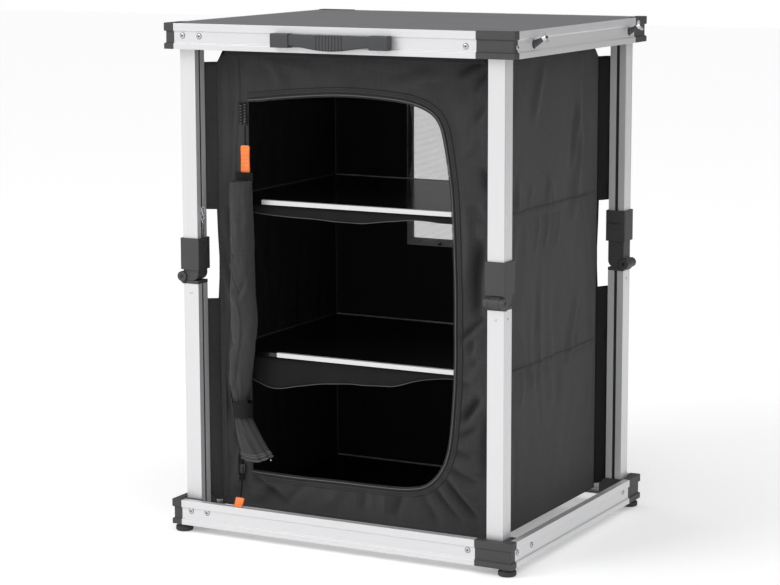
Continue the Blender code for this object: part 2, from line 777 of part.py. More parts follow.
def build_boards(root):
    across, deep = shelf_half_sizes()
    bottom = block((-across, -deep, BOTTOM_BOARD_TOP - BOARD_THICK), (across, deep, BOTTOM_BOARD_TOP))
    piece("bottom_board", shape_of(bottom), "shelf_board", root)
    section = [
        (-deep, 0.0),
        (-deep, -SHELF_LIP),
        (-deep + SHELF_LIP_DEPTH, -SHELF_LIP),
        (-deep + SHELF_LIP_DEPTH, -SHELF_THICK),
        (deep, -SHELF_THICK),
        (deep, 0.0),
    ]
    mesh = shape_of(prism(section, "x", -across, across))
    piece("shelf_lower", mesh, "shelf_board", root, (0.0, 0.0, LOWER_SHELF_TOP))
    piece("shelf_upper", mesh, "shelf_board", root, (0.0, 0.0, UPPER_SHELF_TOP))


# Fabric cabinet


def door_outline():
    """The D-shaped opening: straight left side, arched top and two large right corners."""
    top_a, top_b = DOOR_CORNER_TOP
    low_a, low_b = DOOR_CORNER_BOTTOM
    points = [(DOOR_X0, DOOR_Z0)]
    points += arc_points((DOOR_X1 - low_a, DOOR_Z0 + low_b), low_a, low_b, -90, 0, 8)
    points += arc_points((DOOR_X1 - top_a, DOOR_Z1 - top_b), top_a, top_b, 0, 75, 7)
    span = DOOR_X1 - top_a - DOOR_X0
    for step in range(1, 7):
        along = step / 6
        points.append((DOOR_X1 - top_a - span * along, DOOR_Z1 + DOOR_ARCH * (0.25 - along ** 2)))
    return points


def fin_prism(low, high, chamfer_low, chamfer_high):
    """A web from the cabinet's edge to the leg's slot, in a corner's diagonal plane."""
    reach = math.hypot(CABINET_INSET_X, CABINET_INSET_Y) - FIN_SLOT_GAP
    outline = [
        (-CLOTH, low),
        (reach - chamfer_low, low),
        (reach, low + chamfer_low),
        (reach, high - chamfer_high),
        (reach - chamfer_high, high),
        (-CLOTH, high),
    ]
    return prism(outline, "y", -CLOTH / 2, CLOTH / 2)


def build_cabinet(root):
    """An open-topped cloth box with the door and window openings and its corner webs."""
    body = block((-CABINET_X, -CABINET_Y, CABINET_FLOOR), (CABINET_X, CABINET_Y, CABINET_TOP))
    inside = block(
        (-CABINET_X + CLOTH, -CABINET_Y + CLOTH, CABINET_FLOOR + CLOTH),
        (CABINET_X - CLOTH, CABINET_Y - CLOTH, CABINET_TOP + CLOTH),
    )
    door = prism(door_outline(), "y", -CABINET_Y - CLOTH, -CABINET_Y + CLOTH * 2)
    low, high = window_heights()
    window = block(
        (-WINDOW_HALF_WIDTH, CABINET_Y - CLOTH * 2, low),
        (WINDOW_HALF_WIDTH, CABINET_Y + CLOTH, high),
    )
    body = cut(body, inside, door, window)
    fins = []
    for side_x, side_y in ((-1, -1), (1, -1), (1, 1), (-1, 1)):
        angle = math.atan2(side_y * CABINET_INSET_Y, side_x * CABINET_INSET_X)
        place = Matrix.Translation((side_x * (CABINET_X - CLOTH / 2), side_y * (CABINET_Y - CLOTH / 2), 0.0))
        turn = place @ Matrix.Rotation(angle, 4, "Z")
        lower = fin_prism(BASE_Z + RAIL_HEIGHT + CLOTH, KNEE_Z - KNEE_CUT_BELOW, 0.0, 0.0)
        upper = fin_prism(KNEE_Z + KNEE_CUT_ABOVE, CABINET_TOP - CLOTH, 0.0, FIN_CHAMFER)
        fins += [moved(lower, turn), moved(upper, turn)]
    piece("fabric_cabinet", shape_of(unite(body, *fins)), "fabric", root)


def window_heights():
    return LOWER_SHELF_TOP + WINDOW_SILL, CABINET_TOP - WINDOW_HEAD


def build_window(root):
    """The mesh panel sewn into the rear wall's opening."""
    low, high = window_heights()
    across = WINDOW_HALF_WIDTH - TOUCH
    middle = CABINET_Y - CLOTH / 2
    half = MESH_THICK / 2
    panel = block((-across, middle - half, low + TOUCH), (across, middle + half, high - TOUCH))
    piece("rear_mesh_window", shape_of(panel), "mesh", root)


def roll_stations():
    """Height, centre, half width and half depth of the rolled door, from the top down."""
    top = DOOR_Z1 - ROLL_TOP_DROP
    bottom = DOOR_Z0 + ROLL_BOTTOM_GAP
    waist = bottom + ROLL_BELOW_WAIST
    belly = (top + waist) / 2
    tied = STRAP_HEIGHT / 2 + ROLL_KNOT
    left = DOOR_X0 - ROLL_INSET
    wide = ROLL_RADIUS
    return (
        (top, left, wide * 0.97, wide * 0.88),
        (top - ROLL_SHOULDER_DROP, left, wide, wide * 0.92),
        (belly + ROLL_BELLY_RISE, left + wide * 0.17, wide * 1.08, wide),
        (belly - ROLL_BELLY_FALL, left + wide * 0.25, wide * 1.20, wide),
        (waist + ROLL_NECK_RISE, left, wide * 0.94, wide * 0.9),
        (waist + tied, left - ROLL_KNOT, ROLL_WAIST, ROLL_WAIST),
        (waist - tied, left, ROLL_WAIST, ROLL_WAIST),
        (waist - ROLL_SKIRT_FALL, left + ROLL_FLARE * 0.3, ROLL_FLARE * 0.72, ROLL_WAIST * 0.9),
        (bottom, left + ROLL_FLARE * 0.7, ROLL_FLARE, ROLL_WAIST * 0.7),
    )


def build_rolled_door(root):
    """The door rolled up at the left of its opening, drawn in at the strap."""
    around = ROLL_WAIST + STRAP_GAP + STRAP_THICK
    front = -CABINET_Y - TOUCH - around + ROLL_WAIST
    rings = []
    for height, centre, across, deep in roll_stations():
        points = arc_points((centre, front - deep), across, deep, 0, 360 - 360 / 20, 19)
        rings.append([(a, b, height) for a, b in points])
    piece("rolled_door", shape_of(loft(rings), smooth=True), "fabric", root)
    upper, lower = roll_stations()[5:7]
    middle = (upper[0] + lower[0]) / 2
    centre = (upper[1] + lower[1]) / 2
    place = (centre, front - ROLL_WAIST)
    band = round_bar("z", place, around, middle - STRAP_HEIGHT / 2, middle + STRAP_HEIGHT / 2, 24)
    bore = round_bar("z", place, ROLL_WAIST + STRAP_GAP, middle - STRAP_HEIGHT, middle + STRAP_HEIGHT, 24)
    piece("door_strap", shape_of(cut(band, bore), smooth=True), "strap", root)


def slider_mesh():
    """Zip slider: a heart-shaped body with a bridge across its front."""
    half = SLIDER_WIDTH / 2
    tall = SLIDER_HEIGHT / 2
    notch = tall - PULL_CORD_RADIUS * 2
    widest = tall / 5
    outline = [
        (-SLIDER_WAIST, -tall),
        (SLIDER_WAIST, -tall),
        (half, widest),
        (SLIDER_TOP, tall),
        (0.0, notch),
        (-SLIDER_TOP, tall),
        (-half, widest),
    ]
    body = prism(outline, "y", -SLIDER_THICK / 2, 0.0)
    seat = -SLIDER_THICK / 3
    bridge = [
        (-SLIDER_THICK, -tall + widest),
        (-SLIDER_THICK, tall / 2),
        (seat, notch),
        (seat, -tall + widest),
    ]
    return shape_of(unite(body, prism(bridge, "x", -SLIDER_BRIDGE / 2, SLIDER_BRIDGE / 2)))


def pull_mesh():
    """Cord and moulded tab hanging from the origin."""
    side = PULL_WIDTH / 2 - PULL_ROUND
    high = -PULL_CORD - PULL_ROUND
    low = -PULL_CORD - PULL_LENGTH + PULL_ROUND
    outline = []
    for number, centre in enumerate(((side, high), (-side, high), (-side, low), (side, low))):
        outline += arc_points(centre, PULL_ROUND, PULL_ROUND, number * 90, number * 90 + 90, 3)
    tab = prism(outline, "y", -PULL_THICK / 2, PULL_THICK / 2)
    cord = round_bar("z", (0.0, 0.0), PULL_CORD_RADIUS, high, 0.0, 10)
    return shape_of(unite(tab, cord))


def low_pull_mesh():
    """The lower pull leaning on the rail: its cord runs down and out to the tab's high end."""
    half = PULL_WIDTH / 2
    foot_y = -(DEPTH / 2 - CABINET_Y) + SLIDER_THICK
    foot_z = BASE_Z + RAIL_HEIGHT + TOUCH * 2 - LOW_PULL_Z
    head_y = foot_y + PULL_LEAN
    head_z = foot_z + PULL_LEAN_RISE
    side = [(foot_y, foot_z), (foot_y, foot_z + PULL_THICK), (head_y, head_z + PULL_THICK), (head_y, head_z)]
    tab = prism(side, "x", -half, half)
    knot = Vector((0.0, head_y, head_z + PULL_THICK / 2))
    cord = round_bar("z", (0.0, 0.0), PULL_CORD_RADIUS, 0.0, knot.length + PULL_THICK, 10)
    turn = Vector((0, 0, 1)).rotation_difference(knot).to_matrix().to_4x4()
    return shape_of(unite(tab, moved(cord, turn)))


def build_zips(root):
    """Two sliders at the left ends of the zip, each with its pull on a hinge line."""
    front = -CABINET_Y - TOUCH
    high_x = DOOR_X0 - SLIDER_WIDTH / 2
    low_x = DOOR_X0 - LOW_SLIDER_LEFT
    high_z = DOOR_Z1 - SLIDER_DROP
    mesh = slider_mesh()
    piece("zip_slider_upper", mesh, "zip_metal", root, (high_x, front, high_z))
    piece("zip_slider_lower", mesh, "zip_metal", root, (low_x, front, DOOR_Z0))
    hinge_y = front - SLIDER_THICK / 2
    hinge_z = high_z - SLIDER_HEIGHT / 2 - TOUCH * 2
    upper_hinge = empty("upper_pull_hinge", (high_x, hinge_y, hinge_z), 0.0, root)
    piece("zip_pull_upper", pull_mesh(), "orange", upper_hinge)
    lower_hinge = empty("lower_pull_hinge", (low_x, hinge_y, LOW_PULL_Z), 0.0, root)
    piece("zip_pull_lower", low_pull_mesh(), "orange", lower_hinge)


# Handle


def build_handle(root):
    """Two socket blocks on the front rail with a bowed grip that swings between them."""
    face = -DEPTH / 2 - TOUCH
    top = HEIGHT - HANDLE_TOP_DROP
    bottom = top - HANDLE_BLOCK_HEIGHT
    hinge_z = top - GRIP_TOP - TOUCH * 4
    hinge_y = face - GRIP_STAND - GRIP_THICK / 2
    outer = HANDLE_LENGTH / 2
    inner = outer - HANDLE_BLOCK
    edge = HANDLE_BLOCK_ROUND
    front = face - HANDLE_BLOCK_DEPTH + TOUCH
    section = [(face, bottom), *arc_points((front + edge, bottom + edge), edge, edge, 270, 180, 3),
               *arc_points((front + edge, top - edge), edge, edge, 180, 90, 3), (face, top)]
    socket_reach = GRIP_PIN_LENGTH + RUN * 2
    for name, side in (("left", -1), ("right", 1)):
        ends = sorted((side * inner, side * outer))
        body = prism(section, "x", *ends)
        mouth = sorted((side * (inner - socket_reach), side * (inner + socket_reach)))
        socket = round_bar("x", (hinge_y, hinge_z), GRIP_PIN_RADIUS + RUN, *mouth, 16)
        piece("handle_block_" + name, shape_of(cut(body, socket)), "dark_plastic", root)
    hinge = empty("handle_hinge", (0.0, hinge_y, hinge_z), 0.0, root)
    piece("handle_grip", grip_mesh(inner - RUN * 2), "dark_plastic", hinge)


def grip_stations(reach):
    """Places along the grip, each with how far its section is sunk between the ribs."""
    ribbed = GRIP_RIBS * GRIP_RIB_PITCH / 2
    steps = 6
    plain = [reach - (reach - ribbed) * step / steps for step in range(steps)]
    stations = [(-x, 0.0) for x in plain]
    for number in range(GRIP_RIBS):
        start = -ribbed + number * GRIP_RIB_PITCH
        stations += [
            (start, 0.0),
            (start + GRIP_RIB_WIDTH - GRIP_RIB_FLANK, 0.0),
            (start + GRIP_RIB_WIDTH, GRIP_RIB_DEPTH),
            (start + GRIP_RIB_PITCH - GRIP_RIB_FLANK, GRIP_RIB_DEPTH),
        ]
    return stations + [(x, 0.0) for x in reversed(plain + [ribbed])]


def grip_mesh(reach):
    """Loft along X: straight top, bulging lower edge and a ribbed middle."""
    half = GRIP_THICK / 2
    edge = GRIP_ROUND
    rings = []
    for x, sunk in grip_stations(reach):
        drop = GRIP_END + GRIP_BULGE * math.cos(x / reach * math.pi / 2) ** 1.5
        front = -half + sunk
        rings.append([
            (x, half, GRIP_TOP - edge),
            (x, half - edge, GRIP_TOP),
            (x, front + edge, GRIP_TOP - sunk),
            (x, front, GRIP_TOP - edge - sunk),
            (x, front, -drop + edge + sunk),
            (x, front + edge, -drop + sunk),
            (x, half - edge, -drop),
            (x, half, -drop + edge),
        ])
    body = loft(rings)
    inner = reach - GRIP_PIN_LENGTH / 2
    outer = reach + GRIP_PIN_LENGTH
    left_pin = round_bar("x", (0.0, 0.0), GRIP_PIN_RADIUS, -outer, -inner, 16)
    right_pin = round_bar("x", (0.0, 0.0), GRIP_PIN_RADIUS, inner, outer, 16)
    return shape_of(unite(body, left_pin, right_pin), smooth=True)


# Studs and wing nuts on the right rail


def stud_mesh():
    """Washer flat on the rail, with a tilted cone and threaded rod; x points out."""
    washer = round_bar("x", (0.0, 0.0), STUD_WASHER, TOUCH, TOUCH + STUD_WASHER_THICK, 20)
    cone = revolve([
        (0.0, 0.0),
        (STUD_CONE, 0.0),
        (STUD_CONE, STUD_COLLAR),
        (STUD_CONE_TIP, STUD_CONE_LENGTH),
        (STUD_ROD, STUD_CONE_LENGTH),
        (STUD_ROD, STUD_LENGTH),
        (0.0, STUD_LENGTH),
    ], 20)
    tilt = Matrix.Rotation(math.pi / 2 - STUD_TILT, 4, "Y")
    cone = moved(cone, tilt)
    body = unite(washer, cone)
    behind = block((-STUD_LENGTH, -STUD_LENGTH, -STUD_LENGTH), (TOUCH, STUD_LENGTH, STUD_LENGTH))
    return shape_of(cut(body, behind), smooth=True)


def wing_outline(side):
    """One swept wing from the hub out to its round tip and back."""
    near = NUT_RADIUS / 2
    tip = WING_SPAN - WING_ROUND
    tall = (NUT_HEIGHT + WING_RISE) / 2
    outline = [(side * near, WING_RISE / 4), (side * tip, tall / 2)]
    outline += arc_points((side * tip, tall * 1.3), side * WING_ROUND, tall * 0.7, -60, 120, 6)
    outline += [(side * near, NUT_HEIGHT - WING_RISE / 2)]
    return outline


def wing_nut_mesh():
    """Hub with two wings and a through bore; z is the thread's axis."""
    hub = revolve([
        (0.0, 0.0),
        (NUT_RADIUS, 0.0),
        (NUT_TOP_RADIUS, NUT_HEIGHT),
        (0.0, NUT_HEIGHT),
    ], 20)
    wings = [prism(wing_outline(side), "y", -WING_THICK / 2, WING_THICK / 2) for side in (-1, 1)]
    bore = round_bar("z", (0.0, 0.0), STUD_ROD + RUN, -NUT_HEIGHT, NUT_HEIGHT * 2, 16)
    return shape_of(cut(unite(hub, *wings), bore), smooth=True)


def build_studs(root):
    stud = stud_mesh()
    nut = wing_nut_mesh()
    x = WIDTH / 2 - BAND_RECESS
    z = TOP_Z + (BAND_LOW + RAIL_HEIGHT - BAND_HIGH) / 2
    for name, side in (("front", -1), ("rear", 1)):
        y = side * (DEPTH / 2 - STUD_INSET)
        piece("side_stud_" + name, stud, "dark_plastic", root, (x, y, z))
        place = (x + NUT_SEAT * math.cos(STUD_TILT), y, z + NUT_SEAT * math.sin(STUD_TILT))
        wing_nut = piece("wing_nut_" + name, nut, "steel", root, place)
        wing_nut.rotation_euler = (0.0, math.pi / 2 - STUD_TILT, 0.0)


def centre_shift():
    """Moves the cupboard so that the origin lies under the middle of its overall box."""
    along = math.cos(STUD_TILT)
    across = math.sin(STUD_TILT)
    tip = max(z * along + x * across for x, z in wing_outline(1))
    reach = NUT_SEAT * along + tip - BAND_RECESS
    return -reach / 2, HANDLE_BLOCK_DEPTH / 2, 0.0


def build():
    clear_scene()
    root = empty("cupboard", centre_shift())
    base = []
    table = []
    for index, (name, x, y, _, _) in enumerate(CORNERS):
        turn = index * math.pi / 2
        base.append(empty("base_side_" + name, (x, y, BASE_Z), turn, root))
        table.append(empty("table_side_" + name, (x, y, TOP_Z), turn, root))
    build_corners("base", False, base)
    build_corners("table", True, table)
    build_rails("base", base_rail_section(), base)
    build_rails("table", table_rail_section(), table)
    build_feet(base)
    build_legs(root)
    build_table_board(root)
    build_boards(root)
    build_cabinet(root)
    build_window(root)
    build_rolled_door(root)
    build_zips(root)
    build_handle(root)
    build_studs(root)


build()
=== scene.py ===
"""Looks of the folding camping cupboard: metal, mouldings, hung cloth, zip and small fittings."""

import math

import bpy
import numpy as np
from mathutils import Matrix, Vector, geometry, noise


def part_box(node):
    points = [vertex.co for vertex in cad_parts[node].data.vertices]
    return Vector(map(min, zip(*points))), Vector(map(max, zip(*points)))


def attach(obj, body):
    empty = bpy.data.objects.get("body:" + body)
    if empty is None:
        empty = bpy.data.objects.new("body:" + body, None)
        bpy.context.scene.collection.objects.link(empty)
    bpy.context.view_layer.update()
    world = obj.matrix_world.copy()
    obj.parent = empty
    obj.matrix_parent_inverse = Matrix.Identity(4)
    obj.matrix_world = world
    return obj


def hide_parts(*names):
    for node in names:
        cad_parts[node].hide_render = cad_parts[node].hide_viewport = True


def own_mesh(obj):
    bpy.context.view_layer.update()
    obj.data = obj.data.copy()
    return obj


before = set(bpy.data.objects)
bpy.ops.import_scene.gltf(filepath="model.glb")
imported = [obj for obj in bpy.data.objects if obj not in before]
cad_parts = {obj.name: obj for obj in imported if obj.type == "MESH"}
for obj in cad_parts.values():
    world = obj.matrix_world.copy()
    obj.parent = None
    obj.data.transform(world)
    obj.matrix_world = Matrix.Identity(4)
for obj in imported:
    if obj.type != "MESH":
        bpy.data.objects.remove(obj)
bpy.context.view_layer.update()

# Places in metres, from the middle of the frame on the ground
table_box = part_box("table_board")
MIDDLE = Vector(((table_box[0].x + table_box[1].x) / 2, (table_box[0].y + table_box[1].y) / 2, 0.0))

# The frame: half its size over the corner pieces, how far the rails stand back, and the base's top
HALF_WIDTH = 0.300
HALF_DEPTH = 0.250
RAIL_RECESS = 0.0026
BASE_TOP = 0.052
LEG_CENTRE = (0.0285, 0.0355)

# The cabinet: half its size, its lowest and highest line, and the cloth's thickness
CLOTH_X = 0.2435
CLOTH_Y = 0.187
CLOTH_LOW = 0.0368
CLOTH_HIGH = 0.7689
CLOTH = 0.0009

# Cuts beside the knees and at the walls' top corners, and where the webs end on the legs
KNEE_CUT = (0.372, 0.515)
CORNER_CUT = (0.0205, 0.0215)
WEB_TOP = 0.7468
WEB_ENDS = {
    "front_left": (-0.2715, -0.2007), "front_right": (0.2507, -0.2215),
    "rear_right": (0.2577, 0.2145), "rear_left": (-0.2507, 0.2215),
}

# The opening's edge from its lower left corner, round the right side, to the upper left corner
DOOR_EDGE = (
    (-0.1865, 0.0965), (-0.1458, 0.0960), (-0.1181, 0.0955), (-0.0814, 0.0960), (-0.0453, 0.0968),
    (0.0262, 0.0972), (0.0616, 0.0976), (0.0969, 0.1000), (0.1240, 0.1070), (0.1435, 0.1230),
    (0.1561, 0.1426), (0.1632, 0.1630), (0.1675, 0.1870), (0.1702, 0.2154), (0.1734, 0.2624),
    (0.1750, 0.3091), (0.1750, 0.3552), (0.1749, 0.4165), (0.1733, 0.4621), (0.1719, 0.5000),
    (0.1705, 0.5303), (0.1678, 0.5680), (0.1640, 0.5980), (0.1592, 0.6278), (0.1558, 0.6440),
    (0.1510, 0.6610), (0.1440, 0.6735), (0.1355, 0.6815), (0.1240, 0.6877), (0.0982, 0.6955),
    (0.0638, 0.6998), (0.0293, 0.7019), (-0.0055, 0.7030), (-0.0407, 0.7022), (-0.0760, 0.6997),
    (-0.1117, 0.6967), (-0.1387, 0.6940), (-0.1622, 0.6912), (-0.1865, 0.6890),
)

# The rear window
WINDOW_HALF = 0.100
WINDOW_LOW = 0.424
WINDOW_HIGH = 0.6994

# The shelves: their tops, the gap to the walls that they hold out, half their depth, thickness and lip
SHELF_TOPS = {"lower_shelf": 0.2915, "upper_shelf": 0.533}
SHELF_GAP = 0.0013
SHELF_Y = 0.184
SHELF_THICK = 0.005
SHELF_LIP = 0.006

# For each kind of cloth, a level clear of the folded legs and a share of its height; fold_down takes them and
# does not use them
CABINET_FOLD = (CLOTH_LOW, 0.06)
WEB_FOLD = (0.0525, 0.025)
ROLL_FOLD = (0.0560, 0.02)
PULL_FOLD = (0.0800, 0.15)
APRON_KEEP = 0.05

# Camera that sees the cupboard as the photograph does
CAMERA_PLACE = Vector((1.7781, -3.3906, 1.0047))
CAMERA_AZIMUTH = math.radians(28.17)
CAMERA_HEIGHT = math.radians(9.38)
CAMERA_ROLL = math.radians(-0.17)
CAMERA_LENS = 111.25


# Shader sums and finishes


class Signal:
    """A shader socket that takes part in sums."""

    def __init__(self, shades, socket):
        self.shades = shades
        self.socket = socket

    def work(self, operation, first, second=0.0):
        return self.shades.node("ShaderNodeMath", {"operation": operation}, {0: first, 1: second})

    def __add__(self, other):
        return self.work("ADD", self, other)

    def __sub__(self, other):
        return self.work("SUBTRACT", self, other)

    def __rsub__(self, other):
        return self.work("SUBTRACT", other, self)

    def __mul__(self, other):
        return self.work("MULTIPLY", self, other)

    def sine(self):
        return self.work("SINE", self)

    __radd__ = __add__
    __rmul__ = __mul__


class Shades:
    """A tree of shader nodes that is written as sums."""

    def __init__(self, owner):
        owner.use_nodes = True
        self.tree = owner.node_tree

    def feed(self, socket, value):
        """Give a socket a value, or link a signal to it."""
        if isinstance(value, Signal):
            self.tree.links.new(value.socket, socket)
        else:
            socket.default_value = value

    def node(self, kind, settings=(), sockets=(), output=0):
        """Any node: its kind, its settings, what its sockets get, and which output is used."""
        made = self.tree.nodes.new(kind)
        for setting, value in dict(settings).items():
            setattr(made, setting, value)
        for socket, value in dict(sockets).items():
            self.feed(made.inputs[socket], value)
        return Signal(self, made.outputs[output])

    def axes(self, spot):
        """The three parts of a place or a direction."""
        parts = self.node("ShaderNodeSeparateXYZ", {}, {0: spot})
        return [Signal(self, part) for part in parts.socket.node.outputs]

    def spread(self, signal, low, high, first=0.0, last=1.0):
        """Spread what lies between low and high from the first value to the last."""
        ends = {"Value": signal, "From Min": low, "From Max": high, "To Min": first, "To Max": last}
        return self.node("ShaderNodeMapRange", {}, ends)


class Finish(Shades):
    """A material whose uniform values are set once and whose variation is laid over them."""

    # a Mix node's sockets for its share and its two colours, and its colour output
    SHARE, FIRST, SECOND, MIXED = 0, 6, 7, 2
    # the record's slot, where the finish stands for one
    slot = None

    def __init__(self, name, colour, roughness, **uniform):
        self.material = bpy.data.materials.new(name)
        super().__init__(self.material)
        self.colour = colour
        self.shader = self.tree.nodes["Principled BSDF"]
        self.lay("Base Color", (*colour, 1.0))
        self.lay("Roughness", roughness)
        for socket, value in uniform.items():
            self.lay(socket.replace("_", " "), value)

    def lay(self, socket, value):
        """Lay a value or a signal on one of the shader's sockets."""
        self.feed(self.shader.inputs[socket], value)

    def places(self, stretch=(1.0, 1.0, 1.0)):
        """Places on the piece, in metres or stretched along its axes."""
        spot = self.node("ShaderNodeTexCoord", output="Object")
        return self.node("ShaderNodeMapping", {}, {"Vector": spot, "Scale": stretch})

    def cloud(self, stretch, detail=2.0):
        """Soft noise with a number of cells to the metre along each axis."""
        sockets = {"Vector": self.places(stretch), "Scale": 1.0, "Detail": detail}
        return self.node("ShaderNodeTexNoise", {}, sockets)

    def blend(self, share, first, second):
        """A colour between two others."""
        sockets = {self.SHARE: share, self.FIRST: (*first, 1.0), self.SECOND: (*second, 1.0)}
        return self.node("ShaderNodeMix", {"data_type": "RGBA"}, sockets, self.MIXED)

    def vary(self, share, darkest, lightest):
        """The finish's own colour between two of its shades."""
        dark, light = (tuple(part * factor for part in self.colour) for factor in (darkest, lightest))
        self.lay("Base Color", self.blend(share, dark, light))

    def emboss(self, height, depth):
        """Raise the surface by a signal, up to a depth in metres."""
        self.lay("Normal", self.node("ShaderNodeBump", {}, {"Height": height, "Distance": depth}))


def drawn(run, across, lengthways):
    """How a noise is stretched along the axis that a section was drawn."""
    stretch = [across, across, across]
    stretch[run] = lengthways
    return stretch


def brushed(name, run, colour, roughness):
    """Drawn aluminium under a milky anodised layer, with hairlines along the axis that it was drawn."""
    finish = Finish(name, colour, roughness, Metallic=0.45)
    lines = finish.cloud(drawn(run, 900.0, 6.0), 3.0)
    haze = finish.cloud(drawn(run, 9.0, 2.0))
    finish.lay("Roughness", roughness - 0.08 + (lines * 0.10 + haze * 0.08))
    finish.vary(lines * 0.5 + haze * 0.5, 0.90, 1.04)
    finish.emboss(lines, 0.00002)
    return finish


def moulded(name, colour, roughness):
    """Glass-filled nylon with a fine spark-eroded grain and faint handling marks."""
    finish = Finish(name, colour, roughness)
    grain = finish.cloud((1600.0, 1600.0, 1600.0), 2.0)
    marks = finish.cloud((35.0, 35.0, 60.0), 4.0)
    finish.vary(marks, 0.86, 1.18)
    finish.lay("Roughness", roughness - 0.05 + marks * 0.12)
    finish.emboss(grain, 0.00008)
    return finish


def woven(name, colour, yarn, sheen=0.10):
    """Plain weave whose yarns differ a little, painted darker as shade where the cloth lies deep in a fold's
    crease.
    """
    finish = Finish(name, colour, 0.78, Sheen_Weight=sheen, Sheen_Roughness=0.45, Specular_IOR_Level=0.30)
    wide, deep, up = finish.axes(finish.places())
    pitch = 2 * math.pi / yarn
    weave = ((wide + deep) * pitch).sine() * (up * pitch).sine()
    streaks = finish.cloud((700.0, 700.0, 22.0), 3.0)
    picks = finish.cloud((30.0, 30.0, 900.0), 2.0)
    wear = finish.cloud((14.0, 14.0, 9.0), 3.0)
    # painted shade: the weave's colour is darkened where the cloth lies deep in a crease
    crease_shade = finish.node("ShaderNodeAttribute", {"attribute_name": "crease_shade"}, output="Fac")
    finish.vary((streaks * 0.35 + picks * 0.25 + wear * 0.4) * (1.0 - crease_shade), 0.12, 1.86)
    finish.lay("Roughness", 0.70 + wear * 0.2)
    finish.emboss(weave + streaks * 1.2, 0.00018)
    return finish


def netting(name, colour, cell):
    """Fine knitted net: small open cells between pale yarns."""
    finish = Finish(name, colour, 0.8)
    across, _, up = finish.axes(finish.places())
    pitch = 2 * math.pi / cell
    cells = ((across + up * 0.6) * pitch).sine() * ((across - up * 0.6) * pitch).sine()
    finish.lay("Alpha", finish.spread(cells, -0.9, 0.5) * -0.98 + 0.94)
    finish.emboss(cells, 0.0002)
    return finish


def laminate(name, colour, roughness, gleam):
    """Smooth decor with a very fine speckle."""
    finish = Finish(name, colour, roughness, Specular_IOR_Level=gleam)
    speckle = finish.cloud((1100.0, 1100.0, 1100.0), 2.0)
    wipe = finish.cloud((6.0, 9.0, 6.0), 3.0)
    finish.vary(speckle * 0.6 + wipe * 0.4, 0.88, 1.12)
    finish.lay("Roughness", roughness - 0.05 + wipe * 0.12)
    finish.emboss(speckle, 0.00002)
    return finish


def plated(name, colour, roughness):
    """Zinc-plated or blackened small metal parts."""
    finish = Finish(name, colour, roughness, Metallic=1.0)
    spots = finish.cloud((500.0, 500.0, 500.0), 3.0)
    finish.vary(spots, 0.75, 1.1)
    finish.lay("Roughness", roughness - 0.08 + spots * 0.18)
    finish.emboss(spots, 0.00003)
    return finish


ALUMINIUM = (0.69, 0.69, 0.70)
upright_metal = brushed("aluminium_upright", 2, ALUMINIUM, roughness=0.34)
cross_metal = brushed("aluminium_cross", 0, ALUMINIUM, roughness=0.34)
deep_metal = brushed("aluminium_deep", 1, ALUMINIUM, roughness=0.34)
moulding = moulded("dark_moulding", (0.039, 0.039, 0.041), roughness=0.55)
handle_moulding = moulded("handle_moulding", (0.038, 0.039, 0.042), roughness=0.50)
rubber = moulded("foot_rubber", (0.022, 0.022, 0.023), roughness=0.72)
decor = laminate("table_laminate", (0.158, 0.156, 0.170), roughness=0.42, gleam=0.35)
black_board = laminate("black_board", (0.004, 0.004, 0.005), roughness=0.17, gleam=0.5)
cloth = woven("cabinet_cloth", (0.037, 0.037, 0.039), yarn=0.0011)
# a darker copy of the cabinet cloth for the walls' inner faces: painted shade of the closed cabinet
shaded_inner_cloth = woven("cloth_back_painted_shade", (0.0060, 0.0060, 0.0065), yarn=0.0011, sheen=0.0)
tape = woven("zip_tape", (0.024, 0.024, 0.026), yarn=0.0016)
webbing = woven("webbing", (0.006, 0.006, 0.0065), yarn=0.0020, sheen=0.0)
# a near-black copy of the cloth for the hems under the shelves: painted shade
shaded_apron_cloth = woven("shaded_apron_cloth", (0.0030, 0.0030, 0.0033), yarn=0.0020, sheen=0.0)
thread = moulded("thread", (0.060, 0.060, 0.063), roughness=0.8)
piping = moulded("piping", (0.105, 0.105, 0.110), roughness=0.5)
net = netting("window_net", (0.70, 0.71, 0.73), cell=0.0024)
orange = moulded("orange_pull", (0.83, 0.20, 0.035), roughness=0.45)
steel = plated("plated_steel", (0.62, 0.62, 0.64), roughness=0.26)
dark_steel = plated("dark_steel", (0.05, 0.05, 0.055), roughness=0.40)
# painted shade for deep recesses and slots, and also the zip teeth's own black
black_teeth_and_recess_shade = moulded("black_teeth_and_recess_shade", (0.01, 0.01, 0.01), roughness=0.7)


# The record's slot that each finish stands for; the painted shade of a deep recess, which also colours the
# black zip teeth, has none
SLOTS = {
    "aluminium": (upright_metal, cross_metal, deep_metal),
    "dark_plastic": (moulding, handle_moulding),
    "rubber": (rubber,),
    "laminate": (decor,),
    "shelf_board": (black_board,),
    "mesh": (net,),
    "orange": (orange,),
    "fabric": (cloth, shaded_inner_cloth, shaded_apron_cloth, thread, piping),
    "strap": (webbing, tape),
    "zip_metal": (dark_steel,),
    "steel": (steel,),
}
for slot_name, finishes in SLOTS.items():
    for finish in finishes:
        finish.slot = slot_name


def soften(node):
    """Small bevels, so that a rigid node's edges catch the light."""
    weld = node.modifiers.new("weld", "WELD")
    weld.merge_threshold = 0.00002
    bevel = node.modifiers.new("edges", "BEVEL")
    bevel.width = 0.0004
    bevel.segments = 2
    bevel.limit_method = "ANGLE"
    bevel.angle_limit = math.radians(40)
    node.data.shade_smooth()
    node.modifiers.new("normals", "WEIGHTED_NORMAL").keep_sharp = True


def dress(starts, ends, finish, soft_edges=True):
    """Give the nodes that these starts and ends name their finish."""
    for name in [start + end for start in starts for end in ends]:
        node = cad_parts[name]
        for slot in node.material_slots:
            slot.material = finish.material
        if soft_edges:
            soften(node)


